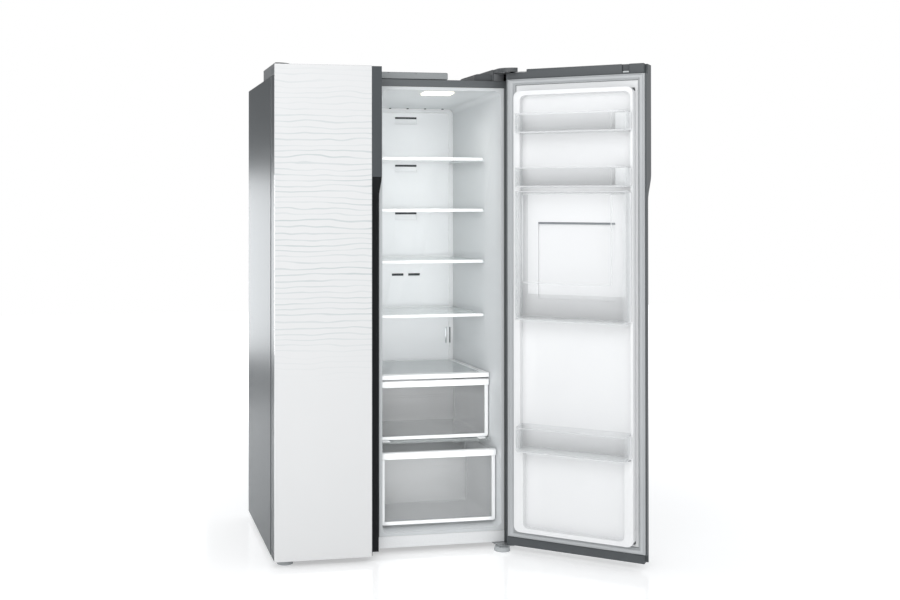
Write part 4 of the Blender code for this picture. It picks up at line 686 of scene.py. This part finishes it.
build_drawer("upper_drawer", "upper_drawer_front", "upper_drawer")
build_drawer("lower_drawer", "lower_drawer_front", "lower_drawer")
tint("freezer_drawer", clear_plastic)

# ---------------------------------------------------------------- doors
# Each door is a foam filled steel box behind a plate of white painted glass. Fine wavy lines cross the
# glass, densest over its upper middle. The freezer door is shut and the fridge door stands open, so pieces
# added to the open door are made shut and then swung round its pin.
LINES_LOW = 0.62                # heights between which the glass has its lines, and where they're full
LINES_LOW_FULL = 0.97
LINES_HIGH_FULL = 1.35
LINES_HIGH = 1.78
door_joint = next(j for j in frame["joints"] if j["name"] == "fridge_door_hinge")
pin = Vector(door_joint["pos_m"])
swing = Matrix.Translation(pin) @ Matrix.Rotation(math.radians(-door_joint["range_deg"][0]), 4, "Z") \
    @ Matrix.Translation(-pin)
unswing = swing.inverted()


def multiplied(tree, first, second):
    """The product of two sockets, as a socket."""
    node = tree.nodes.new("ShaderNodeMath")
    node.operation = "MULTIPLY"
    tree.links.new(first, node.inputs[0])
    tree.links.new(second, node.inputs[1])
    return node.outputs["Value"]


def make_door_glass(name):
    """White back painted glass: a clear gloss over fine wavy grey lines that fade out downwards."""
    material = make_finish(name, (0.755, 0.757, 0.757), 0.10, mottle=0.008, grain=60.0, bump=0.0, coat=1.0)
    tree = material.node_tree
    shader = tree.nodes["Principled BSDF"]
    place = tree.nodes["Texture Coordinate"]
    flat = tree.nodes.new("ShaderNodeMapping")
    flat.inputs["Scale"].default_value = (0.42, 0.42, 1.0)
    tree.links.new(place.outputs["Object"], flat.inputs["Vector"])
    wave = tree.nodes.new("ShaderNodeTexWave")
    wave.bands_direction = "Z"
    wave.inputs["Scale"].default_value = 15.0
    wave.inputs["Distortion"].default_value = 5.0
    wave.inputs["Detail"].default_value = 1.5
    wave.inputs["Detail Scale"].default_value = 1.1
    tree.links.new(flat.outputs["Vector"], wave.inputs["Vector"])
    line = map_range(tree, wave.outputs["Fac"], 0.80, 0.99, smooth=True)
    stretched = tree.nodes.new("ShaderNodeMapping")
    stretched.inputs["Scale"].default_value = (3.0, 3.0, 30.0)
    tree.links.new(place.outputs["Object"], stretched.inputs["Vector"])
    presence = tree.nodes.new("ShaderNodeTexNoise")
    presence.inputs["Scale"].default_value = 1.0
    presence.inputs["Detail"].default_value = 2.0
    tree.links.new(stretched.outputs["Vector"], presence.inputs["Vector"])
    weight = map_range(tree, presence.outputs["Fac"], 0.36, 0.60, 0.35)
    drawn = multiplied(tree, line, weight)
    height = tree.nodes.new("ShaderNodeSeparateXYZ")
    tree.links.new(place.outputs["Object"], height.inputs["Vector"])
    low_fade = map_range(tree, height.outputs["Z"], LINES_LOW, LINES_LOW_FULL, smooth=True)
    top_fade = map_range(tree, height.outputs["Z"], LINES_HIGH, LINES_HIGH_FULL, 0.35, smooth=True)
    shown = multiplied(tree, multiplied(tree, low_fade, top_fade), drawn)
    colours = tree.nodes.new("ShaderNodeMix")
    colours.data_type = "RGBA"
    colours.inputs["B"].default_value = (0.56, 0.60, 0.605, 1.0)
    tree.links.new(shown, colours.inputs["Factor"])
    tree.links.new(tree.nodes["Color Ramp"].outputs["Color"], colours.inputs["A"])
    tree.links.new(colours.outputs["Result"], shader.inputs["Base Color"])
    return material


def closed_box(node):
    """Lowest and highest corner of a fridge door node with its door shut."""
    corners = [unswing @ vertex.co for vertex in nodes[node].data.vertices]
    return (Vector([min(c[axis] for c in corners) for axis in range(3)]),
            Vector([max(c[axis] for c in corners) for axis in range(3)]))


painted_glass = make_door_glass("white_painted_glass")
trim_grey = make_finish("dark_satin_trim", (0.092, 0.101, 0.107), 0.34, metallic=0.4, mottle=0.03,
                        grain=500.0, bump=0.03)
# Near black for the inside of the edge trim's finger channel: painted shade in the recess.
channel_painted_shade = make_finish("finger_channel_painted_shade", (0.010, 0.011, 0.012), 0.55, mottle=0.05, grain=400.0,
                            specular=0.22)
cap_grey = make_finish("dark_cap_plastic", (0.080, 0.088, 0.094), 0.45, mottle=0.03, grain=500.0, bump=0.06)
for door in ("freezer", "fridge"):
    dress(f"{door}_door_glass", painted_glass, 0.0007)
    dress(f"{door}_door_body", case_coat, 0.0010)
    dress(f"{door}_door_top_cap", cap_grey, 0.0012)
    dress(f"{door}_door_bottom_cap", cap_grey, 0.0012)
    trim = dress(f"{door}_door_edge_trim", trim_grey, 0.0009)
    # Faces inside the finger channel that face the front, below 1.40 m, get the second finish: painted shade.
    trim.data.materials.append(channel_painted_shade)
    to_closed = unswing if door == "fridge" else Matrix.Identity(4)
    points = [to_closed @ vertex.co for vertex in trim.data.vertices]
    front = min(point.y for point in points)
    for face in trim.data.polygons:
        depth = sum(points[i].y for i in face.vertices) / len(face.vertices) - front
        normal = to_closed.to_3x3() @ face.normal
        top = max(points[i].z for i in face.vertices)
        if normal.y < -0.3 and 0.004 < depth < 0.053 and top < 1.40:
            face.material_index = 1

# ---------------------------------------------------------------- door gaskets
# Grey magnetic seals: one extruded section with an outer lip, a bellows and a magnet pocket, mitred and
# welded at the corners.


def frame_mesh(name, outer_low, outer_high, profile, widths):
    """A section carried round a rectangle with mitred corners. The section is (inset share, depth)."""
    builder = bmesh.new()
    rings = []
    for share, y in profile:
        left, right, bottom, top = [share * width for width in widths]
        corners = ((outer_low.x + left, outer_low.z + bottom), (outer_high.x - right, outer_low.z + bottom),
                   (outer_high.x - right, outer_high.z - top), (outer_low.x + left, outer_high.z - top))
        rings.append([builder.verts.new((x, y, z)) for x, z in corners])
    for index, ring in enumerate(rings):
        following = rings[(index + 1) % len(rings)]
        for k in range(4):
            builder.faces.new((ring[k], ring[(k + 1) % 4], following[(k + 1) % 4], following[k]))
    bmesh.ops.recalc_face_normals(builder, faces=builder.faces)
    mesh = bpy.data.meshes.new(name)
    builder.to_mesh(mesh)
    builder.free()
    return mesh


# Dark grey for the thin frame along each gasket's inner edge: painted shade in the groove.
groove_painted_shade = make_finish("groove_painted_shade", (0.14, 0.15, 0.155), 0.6, mottle=0.05, grain=400.0)
gasket_grey = make_finish("grey_gasket", (0.50, 0.515, 0.525), 0.42, mottle=0.03, grain=400.0, bump=0.05)
GASKET_SECTION = ((0.0, 0.0), (0.0, 0.35), (0.07, 0.55), (0.16, 0.55), (0.24, 0.86), (0.34, 1.0), (0.66, 1.0),
                  (0.76, 0.86), (0.82, 0.50), (0.90, 0.34), (1.0, 0.30), (1.0, 0.0))
for door in ("freezer", "fridge"):
    gasket = f"{door}_door_gasket"
    low, high = closed_box(gasket) if door == "fridge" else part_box(gasket)
    hinge_side, free_side, ends = 0.031, 0.0215, 0.0215
    widths = (free_side, hinge_side, ends, ends) if door == "fridge" else (hinge_side, free_side, ends, ends)
    section = [(share, low.y + rise * (high.y - low.y)) for share, rise in GASKET_SECTION]
    mesh = frame_mesh(gasket, low, high, section, widths)
    if door == "fridge":
        mesh.transform(swing)
    place_piece(gasket + "_section", mesh, gasket_grey, f"{door}_door", (gasket,))
    # A thin dark frame round the gasket's inner edge: painted shade in the groove between seal and liner.
    groove_low = Vector((low.x + widths[0], low.y, low.z + ends))
    groove_high = Vector((high.x - widths[1], high.y, high.z - ends))
    groove = frame_mesh("groove", groove_low, groove_high,
                        ((0.0, low.y), (0.0, low.y + 0.0016), (1.0, low.y + 0.0012), (1.0, low.y)),
                        [0.0016] * 4)
    if door == "fridge":
        groove.transform(swing)
    place_piece(f"{door}_gasket_groove", groove, groove_painted_shade, f"{door}_door")

# ---------------------------------------------------------------- door liners
# Formed white liners with a raised ring that reaches into the cabinet, and soft radii everywhere.
door_liner_white = make_finish("door_liner_white", (0.86, 0.865, 0.87), 0.26, mottle=0.012, grain=160.0,
                               bump=0.015)
for door in ("freezer", "fridge"):
    dress(f"{door}_door_liner", door_liner_white, 0.0032, 3)

# ---------------------------------------------------------------- door bins
# Clear moulded bins that hang between the sides of the liner, with a thicker rim, ribs under the rim and a
# hook at each end. The two small ones have a white block at the free end for small things.
RIM = 0.0032


def swung(mesh):
    """A mesh made on the shut door, swung round the pin with it."""
    mesh.transform(swing)
    return mesh


def build_bin(node, white_end):
    """Bin, rim along the front and ends, end hooks, and the white block."""
    dress(node, clear_plastic, 0.0010, 2)
    low, high = closed_box(node)
    corner_radius = 0.025
    inset = RIM / 2 + 0.0002
    path = [(low.x + inset, low.y + 0.004, high.z - inset)]
    for centre_x, start in ((low.x + corner_radius, 180), (high.x - corner_radius, 90)):
        for step in range(7):
            angle = math.radians(start - step * 15)
            path.append((centre_x + (corner_radius - inset) * math.cos(angle),
                         high.y - corner_radius + (corner_radius - inset) * math.sin(angle), high.z - inset))
    path.append((high.x - inset, low.y + 0.004, high.z - inset))
    place_piece(node + "_rim", swung(tube_mesh("rim", path, RIM / 2)), rim_plastic, "fridge_door")
    tray = box_mesh("tray", (low.x + 0.0085, low.y + 0.003, low.z + 0.0027),
                    (high.x - 0.0085, high.y - 0.0105, low.z + 0.0062), 0.0012)
    place_piece(node + "_tray", swung(tray), tray_white, "fridge_door")
    lower_path = [(x, y, low.z + inset) for x, y, z in path]
    place_piece(node + "_lower_edge", swung(tube_mesh("edge", lower_path, RIM * 0.42)), rim_plastic,
                "fridge_door")
    for name, x_low, x_high in (("free", low.x - 0.0075, low.x + 0.004),
                                ("hinge", high.x - 0.004, high.x + 0.0075)):
        place_piece(f"{node}_hook_{name}",
                    swung(box_mesh("hook", (x_low, low.y + 0.034, low.z + 0.004),
                                   (x_high, low.y + 0.048, high.z - 0.004), 0.0018, 3)),
                    rim_plastic, "fridge_door")
    if white_end:
        block = box_mesh("block", (low.x + 0.0028, low.y + 0.004, low.z + 0.0032),
                         (low.x + 0.050, low.y + 0.040, high.z - 0.0025), 0.004, 3)
        place_piece(node + "_white_end", swung(block), moulded_white, "fridge_door")


build_bin("fridge_door_bin_1", True)
build_bin("fridge_door_bin_2", True)
build_bin("fridge_bottle_bin", False)
build_bin("fridge_lower_bin", False)
bottle_low, bottle_high = closed_box("fridge_bottle_bin")
window_x = (bottle_low.x + 0.0476, bottle_high.x - 0.034)
window_z = (bottle_high.z - 0.328, bottle_high.z - 0.010)


def rounded_path(x, z, y, radius, steps=5):
    """Points round a rectangle in the X-Z plane with round corners, closed by its first point."""
    points = []
    for centre_x, centre_z, start in ((x[1] - radius, z[1] - radius, 90), (x[1] - radius, z[0] + radius, 0),
                                      (x[0] + radius, z[0] + radius, -90),
                                      (x[0] + radius, z[1] - radius, 180)):
        for step in range(steps):
            angle = math.radians(start - 90 * step / (steps - 1))
            points.append((centre_x + radius * math.cos(angle), y, centre_z + radius * math.sin(angle)))
    return points + [points[0]]


place_piece("bottle_bin_window_rim",
            swung(tube_mesh("rim", rounded_path(window_x, window_z, bottle_high.y - 0.0016, 0.010), 0.0015)),
            rim_plastic, "fridge_door")
# A dark grey strip just under the bar recess's top edge: a painted shadow of that edge.
recess_top = bottle_high.z - 0.112
recess_middle = (bottle_low.x + bottle_high.x) / 2
recess_painted_shadow = make_finish("recess_painted_shadow", (0.24, 0.26, 0.275), 0.6, mottle=0.04)
place_piece("bar_recess_top",
            swung(box_mesh("shade", (recess_middle - 0.140, bottle_low.y - 0.0092, recess_top - 0.0075),
                           (recess_middle + 0.140, bottle_low.y - 0.0020, recess_top - 0.0005), 0.0008)),
            recess_painted_shadow, "fridge_door")

# ---------------------------------------------------------------- door cap clip
# A small light grey clip sits in the notch of the fridge door's top cap, where a switch magnet goes.
clip_grey = make_finish("light_clip_plastic", (0.55, 0.57, 0.58), 0.4, mottle=0.03)
cap_low, cap_high = closed_box("fridge_door_top_cap")
notch_left = cap_low.x + 0.0504
place_piece("cap_clip", swung(box_mesh("clip", (notch_left + 0.002, cap_high.y - 0.011, cap_low.z + 0.0052),
                                       (notch_left + 0.024, cap_high.y - 0.002, cap_low.z + 0.011), 0.001)),
            clip_grey, "fridge_door")

# ---------------------------------------------------------------- studio
# A pale floor that glows outwards, soft light from above and in front, a tall card behind the left side for the
# sheen on the steel, two small ones for the inside, and the camera. Gloss sees the floor without its glow.
FLOOR_HALF = 9.0
floor_builder = bmesh.new()
bmesh.ops.create_grid(floor_builder, x_segments=1, y_segments=1, size=FLOOR_HALF)
floor_mesh = bpy.data.meshes.new("studio_floor")
floor_builder.to_mesh(floor_mesh)
floor_builder.free()
floor = bpy.data.objects.new("studio_floor", floor_mesh)
bpy.context.scene.collection.objects.link(floor)
floor.location.z = -0.0005
pale_floor = make_finish("pale_floor", (0.90, 0.90, 0.90), 0.10, mottle=0.0, grain=2.0, bump=0.0)
floor_mesh.materials.append(pale_floor)
floor_tree = pale_floor.node_tree
away = floor_tree.nodes.new("ShaderNodeVectorMath")
away.operation = "LENGTH"
floor_shader = floor_tree.nodes["Principled BSDF"]
floor_shader.inputs["Emission Color"].default_value = (1, 1, 1, 1)
floor_tree.links.new(floor_tree.nodes["Texture Coordinate"].outputs["Object"], away.inputs[0])
brighter = map_range(floor_tree, away.outputs["Value"], 0.9, 4.0, 0.40, 0.86, smooth=True)
seen_in = floor_tree.nodes.new("ShaderNodeLightPath")
dimmed = map_range(floor_tree, seen_in.outputs["Is Glossy Ray"], 0.0, 1.0, 1.0, 0.0)
floor_tree.links.new(multiplied(floor_tree, brighter, dimmed), floor_shader.inputs["Emission Strength"])


def add_card(name, place, target, width, height, power, colour=(1, 1, 1), spread=180):
    """A soft rectangular light aimed at a point, unseen by the camera."""
    lamp = bpy.data.lights.new(name, "AREA")
    lamp.shape = "RECTANGLE"
    lamp.size = width
    lamp.size_y = height
    lamp.energy = power
    lamp.color = colour
    lamp.spread = math.radians(spread)
    card = bpy.data.objects.new(name, lamp)
    bpy.context.scene.collection.objects.link(card)
    card.location = place
    card.rotation_euler = (Vector(target) - Vector(place)).to_track_quat("-Z", "Y").to_euler()
    card.visible_camera = False
    return card


middle = Vector((middle_x, front_y, 0.9))
opening_x = (liner_low.x + liner_high.x) / 2
add_card("key_card", (middle_x - 1.5, front_y - 4.2, 3.4), middle, 3.0, 2.0, 50)
add_card("fill_card", (middle_x - 3.0, front_y - 3.0, 1.6), middle, 2.4, 2.4, 22)
add_card("sheen_card", (case_low.x - 0.75, front_y + 4.2, 0.82), (case_low.x, front_y + 0.3, 0.9),
         1.8, 1.30, 31)
add_card("opening_card", (opening_x, front_y - 0.004, 0.88), (opening_x, front_y + 1, 0.88), 0.42, 1.6, 1.35,
         spread=95)
add_card("inside_card", (duct_middle, front_y + 0.10, liner_high.z - 0.035),
         (duct_middle, front_y + 0.22, 0.9), 0.24, 0.10, 0.24, (1.0, 0.97, 0.92), spread=120)

world = bpy.data.worlds.new("studio")
bpy.context.scene.world = world
world.use_nodes = True
sky = world.node_tree
backdrop = sky.nodes["Background"]
backdrop.inputs["Color"].default_value = (1, 1, 1, 1)
backdrop.inputs["Strength"].default_value = 1.0
surround = sky.nodes.new("ShaderNodeBackground")
gloss = sky.nodes.new("ShaderNodeBackground")
for light, strength in ((surround, 0.66), (gloss, 0.52)):
    light.inputs["Color"].default_value = (0.96, 0.98, 1.0, 1)
    light.inputs["Strength"].default_value = strength
path_kind = sky.nodes.new("ShaderNodeLightPath")
in_gloss = sky.nodes.new("ShaderNodeMixShader")
sky.links.new(path_kind.outputs["Is Glossy Ray"], in_gloss.inputs["Fac"])
sky.links.new(surround.outputs["Background"], in_gloss.inputs[1])
sky.links.new(gloss.outputs["Background"], in_gloss.inputs[2])
either = sky.nodes.new("ShaderNodeMixShader")
sky.links.new(path_kind.outputs["Is Camera Ray"], either.inputs["Fac"])
sky.links.new(in_gloss.outputs["Shader"], either.inputs[1])
sky.links.new(backdrop.outputs["Background"], either.inputs[2])
sky.links.new(either.outputs["Shader"], sky.nodes["World Output"].inputs["Surface"])
bpy.context.scene.view_settings.view_transform = "Standard"

camera_lens = bpy.data.cameras.new("camera")
camera_lens.sensor_width = 36.0
camera_lens.lens = 46.97
camera_lens.shift_x = 0.1452
camera_lens.shift_y = -0.1225
camera = bpy.data.objects.new("camera", camera_lens)
bpy.context.scene.collection.objects.link(camera)
camera.location = (middle_x - 1.0811, front_y - 4.2016, 1.3131)
camera.rotation_euler = (math.radians(90 + 0.348), 0.0, math.radians(-10.845))
bpy.context.scene.camera = camera
